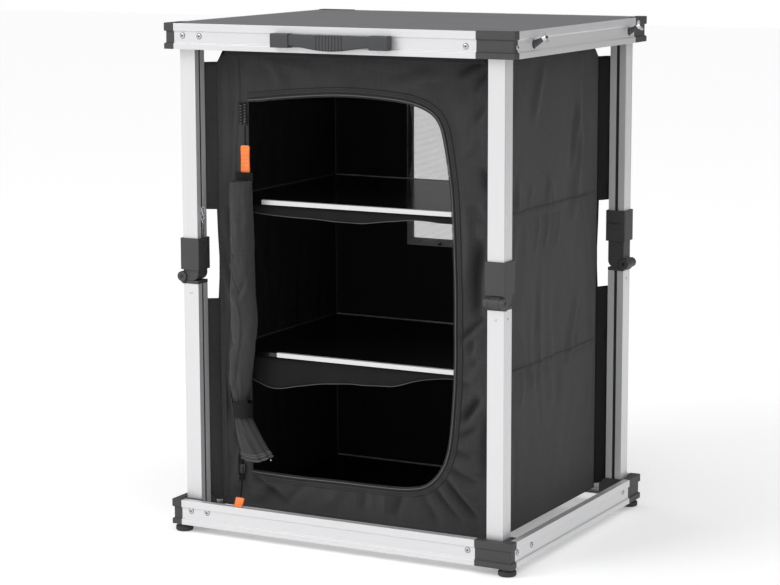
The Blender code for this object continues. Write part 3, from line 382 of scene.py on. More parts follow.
# Each corner's number of quarter turns, and the side of the middle that it stands on
QUARTERS = {"front_left": 0, "front_right": 1, "rear_right": 2, "rear_left": 3}
ORIGINS = {"front_left": (-1, -1), "front_right": (1, -1), "rear_right": (1, 1), "rear_left": (-1, 1)}
CORNERS = tuple(QUARTERS)
RAILS = ("base_rail_", "table_rail_")
MOULDED = ("base_corner_", "table_corner_", "lower_knuckle_", "upper_knuckle_", "lock_sleeve_")

dress(MOULDED, CORNERS, moulding)
dress(("foot_",), CORNERS, rubber)
dress(("lower_leg_", "upper_leg_"), CORNERS, upright_metal)
dress(RAILS, ("front", "rear"), cross_metal)
dress(RAILS, ("left", "right"), deep_metal)
dress(("table_board",), ("",), decor)
dress(("bottom_board",), ("",), black_board)
dress(("shelf_",), ("lower", "upper"), black_board, soft_edges=False)
dress(("handle_",), ("grip", "block_left", "block_right"), handle_moulding)
dress(("side_stud_",), ("front", "rear"), handle_moulding)
dress(("wing_nut_",), ("front", "rear"), steel)
dress(("zip_slider_",), ("upper", "lower"), dark_steel)


# Mesh helpers


def piece(name, points, faces, finish, body, smooth=40.0):
    """A named piece built in the frame's own axes, riding on a body."""
    mesh = bpy.data.meshes.new(name)
    mesh.from_pydata([tuple(point) for point in points], [], faces)
    mesh.materials.append(finish.material)
    mesh.validate()
    made = bpy.data.objects.new(name, mesh)
    bpy.context.collection.objects.link(made)
    made.location = MIDDLE
    if smooth:
        mesh.shade_smooth()
        mesh.set_sharp_from_angle(angle=math.radians(smooth))
    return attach(made, body)


def thicken(made, thickness, offset=-1.0, shaded_back=None):
    """Give a sheet its cloth thickness and keep it as mesh; its back may have another finish."""
    step = made.modifiers.new("thickness", "SOLIDIFY")
    step.thickness = thickness
    step.offset = offset
    if shaded_back:
        made.data.materials.append(shaded_back.material)
        step.material_offset = 1
    graph = bpy.context.evaluated_depsgraph_get()
    made.data = bpy.data.meshes.new_from_object(made.evaluated_get(graph))
    made.modifiers.clear()
    made.data.name = made.name
    return made


def inside_out(shape):
    """The same points, with faces that look the other way."""
    points, faces = shape
    return points, [tuple(reversed(face)) for face in faces]


def block(place, axes, spans):
    """A small block at a place, with a span of distances along each of its three axes."""
    first, second, third = axes
    corners = [place + first * a + second * b + third * c for a in spans[0] for b in spans[1] for c in spans[2]]
    return corners, [(0, 1, 3, 2), (4, 6, 7, 5), (0, 4, 5, 1), (2, 3, 7, 6), (0, 2, 6, 4), (1, 5, 7, 3)]


def fold_down(pieces, height, keep):
    """Give each piece a mesh of its own; the height and the share to keep are not used."""
    for made in pieces:
        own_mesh(made)


def join_faces(groups):
    """Put several (points, faces) together in one list of each."""
    points, faces = [], []
    for group_points, group_faces in groups:
        start = len(points)
        points += list(group_points)
        faces += [tuple(index + start for index in face) for face in group_faces]
    return points, faces


def skin(rings, closed_ring=True, closed_path=False, caps=True):
    """Faces that join rings of equal count into a tube."""
    count = len(rings[0])
    points = [point for ring in rings for point in ring]
    faces = []
    spans = len(rings) if closed_path else len(rings) - 1
    sides = count if closed_ring else count - 1
    for ring in range(spans):
        after = (ring + 1) % len(rings)
        for side in range(sides):
            step = (side + 1) % count
            faces.append((ring * count + side, ring * count + step, after * count + step, after * count + side))
    if caps and closed_ring and not closed_path:
        faces.append(tuple(reversed(range(count))))
        faces.append(tuple(range((len(rings) - 1) * count, len(rings) * count)))
    return points, faces


def along(path):
    """Unit directions along a path of points."""
    path = np.asarray(path, float)
    steps = np.gradient(path, axis=0)
    return steps / np.linalg.norm(steps, axis=1)[:, None]


def sweep(path, out, section, closed_path=False):
    """Sweep a section (sideways, outwards) along a path on a surface that faces out."""
    path = np.asarray(path, float)
    if closed_path:
        ahead = np.roll(path, -1, 0) - np.roll(path, 1, 0)
        ahead /= np.linalg.norm(ahead, axis=1)[:, None]
    else:
        ahead = along(path)
    out = np.broadcast_to(np.asarray(out, float), path.shape)
    side = np.cross(ahead, out)
    side /= np.linalg.norm(side, axis=1)[:, None]
    rings = [[p + s * a + o * b for a, b in section] for p, s, o in zip(path, side, out)]
    return skin(rings, closed_path=closed_path)


def tube(path, radius, sides=10):
    """A round tube along a path."""
    path = np.asarray(path, float)
    ahead = along(path)
    angles = [2 * math.pi * step / sides for step in range(sides)]
    side = np.cross(ahead[0], (0.0, 0.0, 1.0))
    if np.linalg.norm(side) < 0.1:
        side = np.cross(ahead[0], (0.0, 1.0, 0.0))
    rings = []
    for place, direction in zip(path, ahead):
        side = side - direction * (side @ direction)
        side /= np.linalg.norm(side)
        other = np.cross(direction, side)
        rings.append([place + radius * (side * math.cos(a) + other * math.sin(a)) for a in angles])
    return skin(rings)


def turned(profile, place, axis, steps=20):
    """Turn a (radius, height) profile about an axis through a place."""
    axis = Vector(axis).normalized()
    turn = Vector((0, 0, 1)).rotation_difference(axis).to_matrix()
    place = Vector(place)
    angles = [2 * math.pi * step / steps for step in range(steps)]
    rings = [[place + turn @ Vector((radius * math.cos(a), radius * math.sin(a), height)) for a in angles]
             for radius, height in profile]
    return skin(rings)


def smooth_line(knots, count):
    """A smooth curve of count points through knots."""
    knots = np.asarray(knots, float)
    gaps = np.linalg.norm(np.diff(knots, axis=0), axis=1)
    spot = np.concatenate([[0], np.cumsum(gaps)])
    slope = np.gradient(knots, spot, axis=0)
    wanted = np.linspace(0, spot[-1], count)
    index = np.clip(np.searchsorted(spot, wanted, "right") - 1, 0, len(knots) - 2)
    span = (spot[index + 1] - spot[index])[:, None]
    t = ((wanted - spot[index]) / span[:, 0])[:, None]
    behind = (2 * t ** 3 - 3 * t ** 2 + 1) * knots[index] + (t ** 3 - 2 * t ** 2 + t) * span * slope[index]
    return behind + (3 * t ** 2 - 2 * t ** 3) * knots[index + 1] + (t ** 3 - t ** 2) * span * slope[index + 1]


def even(path, gap, closed=False):
    """The same path with points a given gap apart."""
    path = np.asarray(path, float)
    if closed:
        path = np.vstack([path, path[:1]])
    spot = np.concatenate([[0], np.cumsum(np.linalg.norm(np.diff(path, axis=0), axis=1))])
    count = max(3, int(round(spot[-1] / gap)))
    wanted = np.linspace(0, spot[-1], count + 1)
    if closed:
        wanted = wanted[:-1]
    return np.stack([np.interp(wanted, spot, path[:, k]) for k in range(path.shape[1])], 1)


def stitches(path, out, pitch=0.0042, length=0.0028, width=0.0006, proud=0.0003):
    """Dashes of thread along a path."""
    marks = even(path, pitch)
    ahead = along(marks)
    out = np.broadcast_to(np.asarray(out, float), marks.shape)
    groups = []
    for place, direction, up in zip(marks, ahead, out):
        side = np.cross(direction, up) * width / 2
        half = direction * length / 2
        top = up * proud
        low = [place - half - side, place + half - side, place + half + side, place - half + side]
        ridge = [place - half * 0.7 + top, place + half * 0.7 + top]
        groups.append((low + ridge, [(3, 2, 1, 0), (0, 1, 5, 4), (2, 3, 4, 5), (1, 2, 5), (3, 0, 4)]))
    return join_faces(groups)


def sew(name, rows):
    """Rows of stitches as one piece on the cabinet."""
    return piece(name, *join_faces(rows), thread, "base_frame", smooth=0)


# Hung cloth

# How far an opening's edge calms the folds, and how near a shelf the cloth is held and then let go
HOLE_CALM = 0.018
SHELF_HOLD = 0.008
SHELF_FREE = 0.014
# Painted shade in the creases: how deep a crease is when the weave starts to be painted darker, and when it is
# painted darkest
CREASE_SHADE_DEPTH = 0.0065
CREASE_SHADE_START = 0.12
CREASE_SHADE_MOST = 0.85
# Rows of a mesh lie this share of its step apart, as in a grid of even triangles
ROW_PITCH = 0.87
# A drawn fold bows by a share of its length; the dip beside it has a share of its height, and its place
# and width are shares of its width
FOLD_BOW = 0.036
DIP_DEPTH, DIP_PLACE, DIP_WIDTH = 0.45, 1.7, 1.1


def ease(share):
    """A share between 0 and 1 that starts and ends gently."""
    share = np.clip(share, 0, 1)
    return share * share * (3 - 2 * share)


def inside(outline, spots):
    """Which spots lie inside a closed outline."""
    x, y = spots[:, 0], spots[:, 1]
    found = np.zeros(len(spots), bool)
    for (x0, y0), (x1, y1) in zip(outline, np.roll(outline, -1, 0)):
        crossing = (y0 > y) != (y1 > y)
        level = y1 - y0 if y1 != y0 else 1.0
        found ^= crossing & (x < (x1 - x0) * (y - y0) / level + x0)
    return found


def edge_distance(outline, spots):
    """How far each spot is from a closed outline."""
    best = np.full(len(spots), 1e9)
    for a, b in zip(outline, np.roll(outline, -1, 0)):
        step = b - a
        share = np.clip(((spots - a) @ step) / max(step @ step, 1e-12), 0, 1)
        best = np.minimum(best, np.linalg.norm(spots - a - share[:, None] * step, axis=1))
    return best


def rim_points(outline, step):
    """Points along a closed outline that keep its corners."""
    points = []
    for a, b in zip(outline, np.roll(outline, -1, 0)):
        count = max(1, int(round(math.hypot(*(b - a)) / step)))
        points += [a + (b - a) * k / count for k in range(count)]
    return np.array(points)


class Relief:
    """Height of the folds in a panel: drawn folds, a crown across it, soft billows and small creases."""

    def __init__(self, folds, seed, billow, crease, crown=(1.0, 0.0)):
        self.folds = folds
        self.seed = seed
        self.billow = billow
        self.crease = crease
        self.crown = crown

    def at(self, spots):
        spots = np.asarray(spots, float)
        wide, bulge = self.crown
        height = bulge * np.sin(np.clip(spots[:, 0] / wide, 0, 1) * math.pi)
        for x0, z0, x1, z1, width, rise in self.folds:
            start = np.array((x0, z0))
            step = np.array((x1 - x0, z1 - z0))
            length = math.hypot(*step)
            unit = step / length
            share = ((spots - start) @ unit) / length
            bow = math.copysign(FOLD_BOW, rise) * length * np.sin(np.clip(share, 0, 1) * math.pi)
            away = (spots - start) @ np.array((-unit[1], unit[0])) - bow
            # the fold fades at both ends, and the cloth beside it goes the other way
            fade = np.clip(1.0 - np.abs(share * 2 - 1) ** 3, 0, 1)
            dip = np.exp(-((away - width * DIP_PLACE) / (width * DIP_WIDTH)) ** 2)
            height += rise * (np.exp(-(away / width) ** 2) - DIP_DEPTH * dip) * fade
        # billows a hand wide, and creases a finger wide that run aslant
        soft = [noise.noise(Vector((x * 9 + self.seed, z * 6, self.seed))) for x, z in spots]
        fine = [noise.noise(Vector((x * 34 + z * 12, z * 20 - x * 9, self.seed * 2.3))) for x, z in spots]
        return height + self.billow * np.array(soft) + self.crease * np.array(fine)


class Panel:
    """A flat cut of cloth with folds, placed by an origin and its across and out directions."""

    def __init__(self, origin, across, out, outline, holes, relief, calm=0.012, give=0.03):
        self.origin = np.asarray(origin, float)
        self.across = np.asarray(across, float)
        self.out = np.asarray(out, float)
        self.outline = np.asarray(outline, float)
        self.holes = [np.asarray(hole, float) for hole in holes]
        self.relief = relief
        self.calm = calm
        self.give = give

    def lift(self, spots):
        """How far the cloth stands out at each spot, calmer near its edges and openings."""
        spots = np.asarray(spots, float)
        calm = ease(edge_distance(self.outline, spots) / self.calm)
        for hole in self.holes:
            near = np.clip(edge_distance(hole, spots) / HOLE_CALM, 0, 1)
            calm = calm * (0.25 + 0.75 * near)
        height = self.relief.at(spots) * calm
        # the shelves hold the cloth out: it gives way inwards only between them
        apart = np.min([np.abs(spots[:, 1] - level) for level in SHELF_TOPS.values()], 0)
        most = SHELF_GAP + (self.give - SHELF_GAP) * ease((apart - SHELF_HOLD) / SHELF_FREE)
        return np.where(height < 0, -most * (1 - np.exp(np.minimum(height, 0) / most)), height)

    def place(self, spots, proud=0.0):
        """Points of the folded cloth, or a given distance in front of it."""
        spots = np.asarray(spots, float)
        level = (self.lift(spots) + proud)[:, None]
        up = np.array((0, 0, 1.0))
        return self.origin + spots[:, :1] * self.across + spots[:, 1:] * up + level * self.out

    def grid(self, step):
        """Staggered rows of spots inside the outline, clear of its rim and its openings."""
        low = self.outline.min(0)
        high = self.outline.max(0)
        rows = int((high[1] - low[1]) / (step * ROW_PITCH))
        spots = []
        for row in range(1, rows):
            z = low[1] + (high[1] - low[1]) * row / rows
            shift = step / 2 if row % 2 else 0.0
            xs = np.arange(low[0] + step * 0.6 + shift, high[0] - step * 0.4, step)
            spots.append(np.stack([xs, np.full(len(xs), z)], 1))
        spots = np.vstack(spots)
        keep = inside(self.outline, spots) & (edge_distance(self.outline, spots) > step * 0.5)
        for hole in self.holes:
            keep &= ~inside(hole, spots) & (edge_distance(hole, spots) > step * 0.45)
        return spots[keep]

    def mesh(self, step):
        """Points, faces that look outwards, the flat area and the crease shade painted on each point from how
        deep it lies.
        """
        rims = [rim_points(self.outline, step)] + [rim_points(hole, step * 0.8) for hole in self.holes]
        edges = []
        start = 0
        for rim in rims:
            edges += [(start + k, start + (k + 1) % len(rim)) for k in range(len(rim))]
            start += len(rim)
        flat = np.vstack([*rims, self.grid(step)])
        found = geometry.delaunay_2d_cdt([Vector(spot) for spot in flat], edges, [], 0, 1e-6)
        flat = np.array([tuple(spot) for spot in found[0]])
        faces = np.array(found[2])
        centres = flat[faces].mean(1)
        keep = inside(self.outline, centres)
        for hole in self.holes:
            keep &= ~inside(hole, centres)
        faces = faces[keep]
        corners = flat[faces]
        turn = np.cross(corners[:, 1] - corners[:, 0], corners[:, 2] - corners[:, 0])
        facing = np.cross(self.across, (0, 0, 1.0)) @ self.out
        away = (turn * facing) < 0
        faces[away] = faces[away][:, ::-1]
        used, faces_used = np.unique(faces, return_inverse=True)
        faces_used = faces_used.reshape(faces.shape)
        area = float(np.abs(turn).sum() / 2)
        # how much painted shade each point gets from how deep it lies in a crease
        crease_shades = np.clip(-self.lift(flat[used]) / CREASE_SHADE_DEPTH - CREASE_SHADE_START, 0, CREASE_SHADE_MOST)
        return self.place(flat[used]), [tuple(int(k) for k in face) for face in faces_used], area, crease_shades

    def build(self, name, step):
        """The cut as cloth, whose inner face is a darker copy of the cloth as painted shade of the cabinet's
        inside.
        """
        points, faces, area, crease_shades = self.mesh(step)
        made = piece(name, points, faces, cloth, "base_frame", smooth=0)
        made.data.attributes.new("crease_shade", "FLOAT", "POINT").data.foreach_set("value", crease_shades)
        made = thicken(made, CLOTH, shaded_back=shaded_inner_cloth)
        made.data.shade_smooth()
        wide, tall = (float(size) for size in self.outline.max(0) - self.outline.min(0))
        # an area is worked out only where corners or an opening are cut away, and is not used further
        cut = area if area < wide * tall * 0.98 else None
        return made


def wall_outline(half):
    """A wall of the cabinet, whose top corners are cut away beside the legs."""
    across, down = CORNER_CUT
    return [(-half, CLOTH_LOW), (half, CLOTH_LOW), (half, CLOTH_HIGH - down), (half - across, CLOTH_HIGH),
            (across - half, CLOTH_HIGH), (-half, CLOTH_HIGH - down)]


# Each fold's two ends, its width and its height out of the cloth, or depth where it is negative
FRONT_FOLDS = [
    # the strip beside the right leg
    (0.232, 0.766, 0.178, 0.738, 0.006, -0.0055),
    (0.236, 0.750, 0.204, 0.716, 0.006, -0.0045),
    (0.228, 0.700, 0.206, 0.668, 0.007, -0.0040),
    (0.212, 0.640, 0.182, 0.622, 0.006, 0.0030),
    (0.222, 0.606, 0.232, 0.566, 0.007, -0.0060),
    (0.206, 0.548, 0.222, 0.520, 0.007, -0.0055),
    (0.220, 0.500, 0.212, 0.372, 0.010, -0.0105),
    (0.190, 0.560, 0.192, 0.420, 0.007, 0.0035),
    (0.228, 0.380, 0.180, 0.336, 0.0055, -0.0070),
    (0.206, 0.346, 0.198, 0.318, 0.006, -0.0050),
    (0.212, 0.312, 0.190, 0.286, 0.006, -0.0050),
    (0.175, 0.274, 0.202, 0.271, 0.005, -0.0030),
    (0.217, 0.256, 0.188, 0.218, 0.0065, -0.0060),
    (0.183, 0.214, 0.216, 0.252, 0.006, -0.0045),
    (0.176, 0.190, 0.214, 0.210, 0.005, -0.0045),
    (0.170, 0.168, 0.204, 0.161, 0.006, -0.0045),
    (0.230, 0.240, 0.228, 0.120, 0.008, -0.0050),
    # the lower right corner
    (0.160, 0.142, 0.216, 0.120, 0.006, -0.0050),
    (0.151, 0.129, 0.218, 0.062, 0.0058, -0.0085),
    (0.131, 0.115, 0.190, 0.054, 0.0058, -0.0070),
    (0.112, 0.104, 0.150, 0.046, 0.0070, -0.0035),
    # the strip below the opening
    (0.084, 0.096, 0.070, 0.052, 0.007, -0.0040),
    (0.050, 0.094, 0.052, 0.050, 0.006, 0.0030),
    (0.020, 0.094, 0.012, 0.052, 0.007, -0.0034),
    (-0.020, 0.094, -0.060, 0.050, 0.009, 0.0034),
    (-0.080, 0.092, -0.130, 0.048, 0.008, -0.0040),
    (-0.150, 0.094, -0.200, 0.046, 0.009, 0.0040),
    (-0.196, 0.100, -0.120, 0.052, 0.006, -0.0050),
    # the head above the opening
    (-0.200, 0.752, -0.060, 0.735, 0.010, 0.0028),
    (-0.040, 0.745, 0.120, 0.748, 0.012, 0.0024),
    (0.060, 0.712, 0.160, 0.740, 0.008, 0.0030),
    (-0.150, 0.760, -0.120, 0.700, 0.008, 0.0022),
    # the strip beside the left leg
    (-0.229, 0.760, -0.231, 0.540, 0.006, 0.0040),
    (-0.236, 0.520, -0.218, 0.400, 0.008, 0.0050),
    (-0.214, 0.560, -0.218, 0.380, 0.006, -0.0046),
    (-0.240, 0.430, -0.212, 0.330, 0.006, 0.0042),
    (-0.222, 0.360, -0.226, 0.120, 0.008, 0.0048),
    (-0.236, 0.250, -0.208, 0.130, 0.007, -0.0042),
    (-0.208, 0.140, -0.228, 0.050, 0.007, 0.0044),
]


# Step of the walls' meshes, and how far a shelf's seam lies below its top
WALL_STEP = 0.0065
SEAM_DROP = 0.004


def drifting_folds(seed, half):
    """Long soft folds of a hanging wall, drawn from a seeded source."""
    source = np.random.default_rng(seed)
    low, high = 0.06, 0.75
    folds = []
    for _ in range(26):
        x = source.uniform(-half, half)
        z = source.uniform(low, high)
        length = source.uniform(0.10, 0.26)
        turn = source.normal(math.pi / 2, 0.25)
        dx, dz = math.cos(turn) * length / 2, math.sin(turn) * length / 2
        ends = np.clip((x - dx, x + dx), -half, half)
        tall = np.clip((z - dz, z + dz), low, high)
        if tall[1] - tall[0] < 0.05:
            continue
        width, rise = source.uniform(0.006, 0.013), source.uniform(-0.0064, 0.0080)
        folds.append((ends[0], tall[0], ends[1], tall[1], width, rise))
    return folds


def shelf_tucks(half, seed):
    """Where a shelf is sewn in, the wall is drawn in along the seam, with short tucks."""
    source = np.random.default_rng(seed)
    folds = []
    for top in SHELF_TOPS.values():
        level = top - SEAM_DROP
        folds.append((-half * 0.98, level, half * 0.98, level, 0.004, -0.0030))
        for _ in range(9):
            x = source.uniform(-half * 0.9, half * 0.9)
            fall = source.choice((-1, 1)) * source.uniform(0.03, 0.08)
            drift = source.normal(0, 0.015)
            folds.append((x, level, x + drift, level + fall, 0.006, source.uniform(0.0015, 0.0034)))
    return folds


def build_cabinet():
    """The four walls with their seams and hems, the floor, the zip and the webs to the legs."""
    front = Panel((0, -CLOTH_Y, 0), (1, 0, 0), (0, -1, 0), wall_outline(CLOTH_X), [smooth_line(DOOR_EDGE, 130)],
                  Relief(FRONT_FOLDS, seed=1.7, billow=0.0034, crease=0.0012))
    made = front.build("front_cloth", 0.0055)
    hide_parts("fabric_cabinet")
    pieces = [made]
    pieces += build_side_wall("right_cloth", 1, 5.1)
    pieces += build_side_wall("left_cloth", -1, 8.3)
    pieces += build_rear_wall()
    pieces.append(build_floor_cloth())
    pieces += build_door_band(front)
    pieces += build_front_seams(front)
    pieces += build_top_hem("front_cloth", front, CLOTH_X)
    pieces += build_zip_tail()
    pieces += build_zip_foot(front)
    fold_down(pieces, *CABINET_FOLD)
    fold_down(build_webs(), *WEB_FOLD)


def build_side_wall(name, side, seed):
    """A side wall with its top hem and the seams that carry the shelves."""
    half = CLOTH_Y - CLOTH * 1.5
    folds = drifting_folds(int(seed * 10), half) + shelf_tucks(half, int(seed * 7))
    wall = Panel((side * CLOTH_X, 0, 0), (0, 1, 0), (side, 0, 0), wall_outline(half), [],
                 Relief(folds, seed, billow=0.0035, crease=0.0009), give=SHELF_GAP)
    pieces = [wall.build(name, WALL_STEP), *build_top_hem(name, wall, half)]
    welt = [(-0.0011, -0.0006), (-0.0007, 0.0008), (0.0007, 0.0008), (0.0011, -0.0006)]
    for index, level in enumerate(SHELF_TOPS.values()):
        line = [(y, level - SEAM_DROP) for y in np.linspace(-half + 0.004, half - 0.004, 90)]
        seam = wall.place(line, 0.0004)
        pieces.append(piece(f"{name}_seam_{index}", *sweep(seam, wall.out, welt), cloth, "base_frame"))
        rows = [wall.place([(y, level + drop) for y, _ in line], 0.0001) for drop in (-0.0075, -0.0005)]
        pieces.append(sew(f"{name}_stitches_{index}", [stitches(row, wall.out) for row in rows]))
    return pieces


def build_rear_wall():
    """The rear wall with its top hem and its window."""
    folds = drifting_folds(93, 0.23) + shelf_tucks(CLOTH_X, 12)
    window = [(-WINDOW_HALF, WINDOW_LOW), (WINDOW_HALF, WINDOW_LOW), (WINDOW_HALF, WINDOW_HIGH),
              (-WINDOW_HALF, WINDOW_HIGH)]
    wall = Panel((0, CLOTH_Y, 0), (1, 0, 0), (0, 1, 0), wall_outline(CLOTH_X), [window],
                 Relief(folds, seed=3.9, billow=0.0030, crease=0.0009), give=SHELF_GAP)
    made = wall.build("rear_cloth", WALL_STEP)
    return [made, *build_top_hem("rear_cloth", wall, CLOTH_X), *build_window(wall, window)]


def build_floor_cloth():
    """The cabinet's cloth floor under the bottom board."""
    half_x, half_y = CLOTH_X - CLOTH, CLOTH_Y - CLOTH
    top = CLOTH_LOW + CLOTH
    points = [(-half_x, -half_y, top), (half_x, -half_y, top), (half_x, half_y, top), (-half_x, half_y, top)]
    made = thicken(piece("floor_cloth", points, [(0, 1, 2, 3)], cloth, "base_frame", smooth=0), CLOTH)
    return made


def build_window(rear, window):
    """Net that sags a little inwards, with a bound edge."""
    rows = 20
    overlap = 0.004
    wide, tall = (WINDOW_HALF + overlap) * 2, WINDOW_HIGH - WINDOW_LOW + overlap * 2
    points = []
    for v in np.linspace(0, 1, rows + 1):
        for u in np.linspace(0, 1, rows + 1):
            sag = 0.002 * math.sin(u * math.pi) * math.sin(v * math.pi)
            x = -WINDOW_HALF - overlap + wide * u
            points.append((x, CLOTH_Y - 0.0015 - sag, WINDOW_LOW - overlap + tall * v))
    corners = [row * (rows + 1) + column for row in range(rows) for column in range(rows)]
    faces = [(first, first + 1, first + rows + 2, first + rows + 1) for first in corners]
    made = thicken(piece("window_net", points, faces, net, "base_frame"), 0.0004)
    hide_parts("rear_mesh_window")
    path = rear.place(even(window, 0.006, True))
    bound = [(0.009, 0.0), (0.0085, 0.0010), (-0.0015, 0.0012), (-0.002, 0.0), (-0.0015, -0.0016),
             (0.0085, -0.0014)]
    return [made, piece("window_binding", *sweep(path, rear.out, bound, True), tape, "base_frame")]


def build_webs():
    """Webs from the cabinet's corners to the legs, cut out beside the knees."""
    made = []
    low, high = KNEE_CUT
    # the cut's edge, from its lower to its upper end: distance from the cabinet and height
    knee = [(0.0034, low + 0.0006), (0.0016, low + 0.034), (0.0012, low + 0.066), (0.0030, low + 0.106),
            (0.0040, high - 0.0004)]
    for index, (corner, end) in enumerate(WEB_ENDS.items()):
        side_x, side_y = ORIGINS[corner]
        start = np.array((side_x * (CLOTH_X - 0.0005), side_y * (CLOTH_Y - 0.0005), 0.0))
        reach = np.array((*end, 0.0)) - start
        width = float(np.linalg.norm(reach))
        across = reach / width
        out = np.cross(across, (0, 0, 1.0))
        out *= math.copysign(1.0, out[1] * side_y)
        hem = [(0, BASE_TOP - 0.008), (width * 0.72, BASE_TOP - 0.008), (width * 0.78, BASE_TOP + 0.002)]
        leg_side = [(width, BASE_TOP + 0.002), (width, low)]
        head = [(width, high), (width, WEB_TOP), (0, CLOTH_HIGH - CORNER_CUT[1])]
        bulge = 0.0042 * side_y * (1 if index % 2 else -1)
        relief = Relief([], seed=2.3 + index, billow=0.0010, crease=0.0005, crown=(width, bulge))
        web = Panel(start, across, out, hem + leg_side + knee + head, [], relief, calm=0.004)
        made.append(web.build("corner_web_" + corner, 0.0050))
    return made


def build_door_band(front):
    """Zip round the opening: teeth at the edge, bound tape, piping and two rows of stitching."""
    outline = front.holes[0]
    path = even(outline, 0.004)
    ahead = along(path)
    side = np.stack([ahead[:, 1], -ahead[:, 0]], 1)
    outward = np.where(((path - outline.mean(0)) * side).sum(1)[:, None] > 0, side, -side)

    def ring(offset, proud):
        return front.place(path + outward * offset, proud)

    # across the tape: distance from the opening's edge and height over the cloth, then its underside
    tape_steps = [(-0.0012, 0.0002), (-0.0006, 0.0018), (0.0022, 0.0021), (0.0030, 0.0003), (0.0042, 0.0002),
                  (0.0052, 0.0017), (0.0108, 0.0016), (0.0118, 0.0003), (0.0128, 0.0001),
                  (0.0128, -0.0006), (-0.0012, -0.0006)]
    rings = [ring(offset, proud) for offset, proud in tape_steps]
    strips = [[level[k] for level in rings] for k in range(len(path))]
    band = piece("door_zip_band", *skin(strips), tape, "base_frame")
    marks = even(np.hstack([path, outward]), 0.0021)
    places = front.place(marks[:, :2] - marks[:, 2:] * 0.0018, 0.0002)
    teeth = join_faces([tooth(place, outwards) for place, outwards in zip(places, marks[:, 2:])])
    chain = piece("door_zip_teeth", *teeth, black_teeth_and_recess_shade, "base_frame", smooth=0)
    seams = sew("door_zip_stitches", [stitches(ring(offset, 0.0017), front.out) for offset in (0.0060, 0.0105)])
    edge = piece("door_zip_piping", *tube(ring(0.0004, 0.0019), 0.0006, 6), piping, "base_frame")
    return [band, chain, seams, edge]


def tooth(place, outward, scale=1.0):
    """One zip tooth that points into the opening."""
    axes = (np.array((outward[0], 0.0, outward[1])), np.array((-outward[1], 0.0, outward[0])),
            np.array((0.0, -1.0, 0.0)))
    half_long, half_wide = 0.0012 * scale, 0.0006 * scale
    return block(place, axes, ((-half_long, half_long), (-half_wide, half_wide), (-0.0006, 0.0008)))


def build_zip_tail():
    """The open end of the zip above the slider: two runs of coil on their tape."""
    low, high = 0.6515, 0.6850
    points = [(x, -CLOTH_Y - 0.0026, z) for z in np.linspace(low, high, 14) for x in (-0.2020, -0.1880)]
    faces = [(k, k + 1, k + 3, k + 2) for k in range(0, 26, 2)]
    tail = thicken(piece("zip_tail_tape", points, faces, webbing, "base_frame"), 0.0008)
    teeth = []
    for x, shift in ((-0.1990, 0.0), (-0.1914, 0.0022)):
        for z in np.arange(low + 0.002, high - 0.002, 0.0044):
            teeth.append(tooth(np.array((x, -CLOTH_Y - 0.0032, z + shift)), (1.0, 0.0), 1.5))
    return [tail, piece("zip_tail_teeth", *join_faces(teeth), thread, "base_frame", smooth=0)]


def build_zip_foot(front):
    """The closed end of the zip below the lower slider, and a dark cord along the door's hinge that paints the
    shadow line at its edge.
    """
    widths, heights = np.linspace(-0.2125, -0.2035, 5), np.linspace(0.0790, 0.1200, 16)
    strips = [front.place([(x, z) for x in widths], 0.0006) for z in heights]
    foot = piece("zip_foot_tape", *skin(strips, closed_ring=False), webbing, "base_frame")
    places = front.place([(-0.2121, 0.0854), (-0.2131, 0.0806)], 0.0012)
    ends = [tooth(place, (1.0, 0.0), 0.9) for place in places]
    stops = piece("zip_foot_stops", *join_faces(ends), piping, "base_frame", smooth=0)
    line = smooth_line(HINGE_SHADOW_LINE, 90)
    cord = piece("door_hinge_shadow_cord", *tube(front.place(line, 0.0006), 0.0008, 8), webbing, "base_frame")
    return [thicken(foot, 0.0006), stops, cord]


# The dark cord that paints the shadow line along the door's hinge edge, and the long seam beside the left leg,
# as across and up on the front
HINGE_SHADOW_LINE = ((-0.2262, 0.2420), (-0.2255, 0.2286), (-0.2191, 0.2064), (-0.2182, 0.1794), (-0.2175, 0.1527),
              (-0.2095, 0.1282), (-0.2118, 0.1100))
HINGE_BENDS = (
    (-0.2092, 0.7600), (-0.2072, 0.7280), (-0.2062, 0.6920), (-0.2098, 0.6495), (-0.2136, 0.6100),
    (-0.2162, 0.5740), (-0.2225, 0.5306), (-0.2235, 0.4765), (-0.2160, 0.4490), (-0.2140, 0.4217),
    (-0.2190, 0.3845), (-0.2270, 0.3467), (-0.2325, 0.3090), (-0.2372, 0.2525), (-0.2378, 0.1900),
    (-0.2365, 0.1200), (-0.2355, 0.0500),
)


def build_front_seams(front):
    """The long seam that holds the door beside the left leg, and the hem at the front's foot."""
    line = smooth_line(HINGE_BENDS, 190)
    welt = [(-0.0042, -0.0004), (-0.0038, 0.0009), (-0.0004, 0.0014), (0.0030, 0.0012), (0.0036, -0.0004)]
    seam = piece("door_hinge_seam", *sweep(front.place(line), front.out, welt), cloth, "base_frame")
    rows = [stitches(front.place(line + (offset, 0.0), 0.0013), front.out) for offset in (-0.0024, 0.0022)]
    seam_rows = sew("door_hinge_stitches", rows)
    beside = smooth_line([(x + 0.0052, z) for x, z in HINGE_BENDS[:7]], 80)
    ridge = [(-0.0012, -0.0005), (-0.0006, 0.0010), (0.0006, 0.0010), (0.0012, -0.0005)]
    tuck = piece("door_hinge_tuck", *sweep(front.place(beside), front.out, ridge), cloth, "base_frame")
    foot = [(x, CLOTH_LOW + 0.006) for x in np.linspace(-0.238, 0.238, 120)]
    hem = sew("front_hem_stitches", [stitches(front.place(foot, 0.0001), front.out)])
    return [seam, seam_rows, tuck, hem]


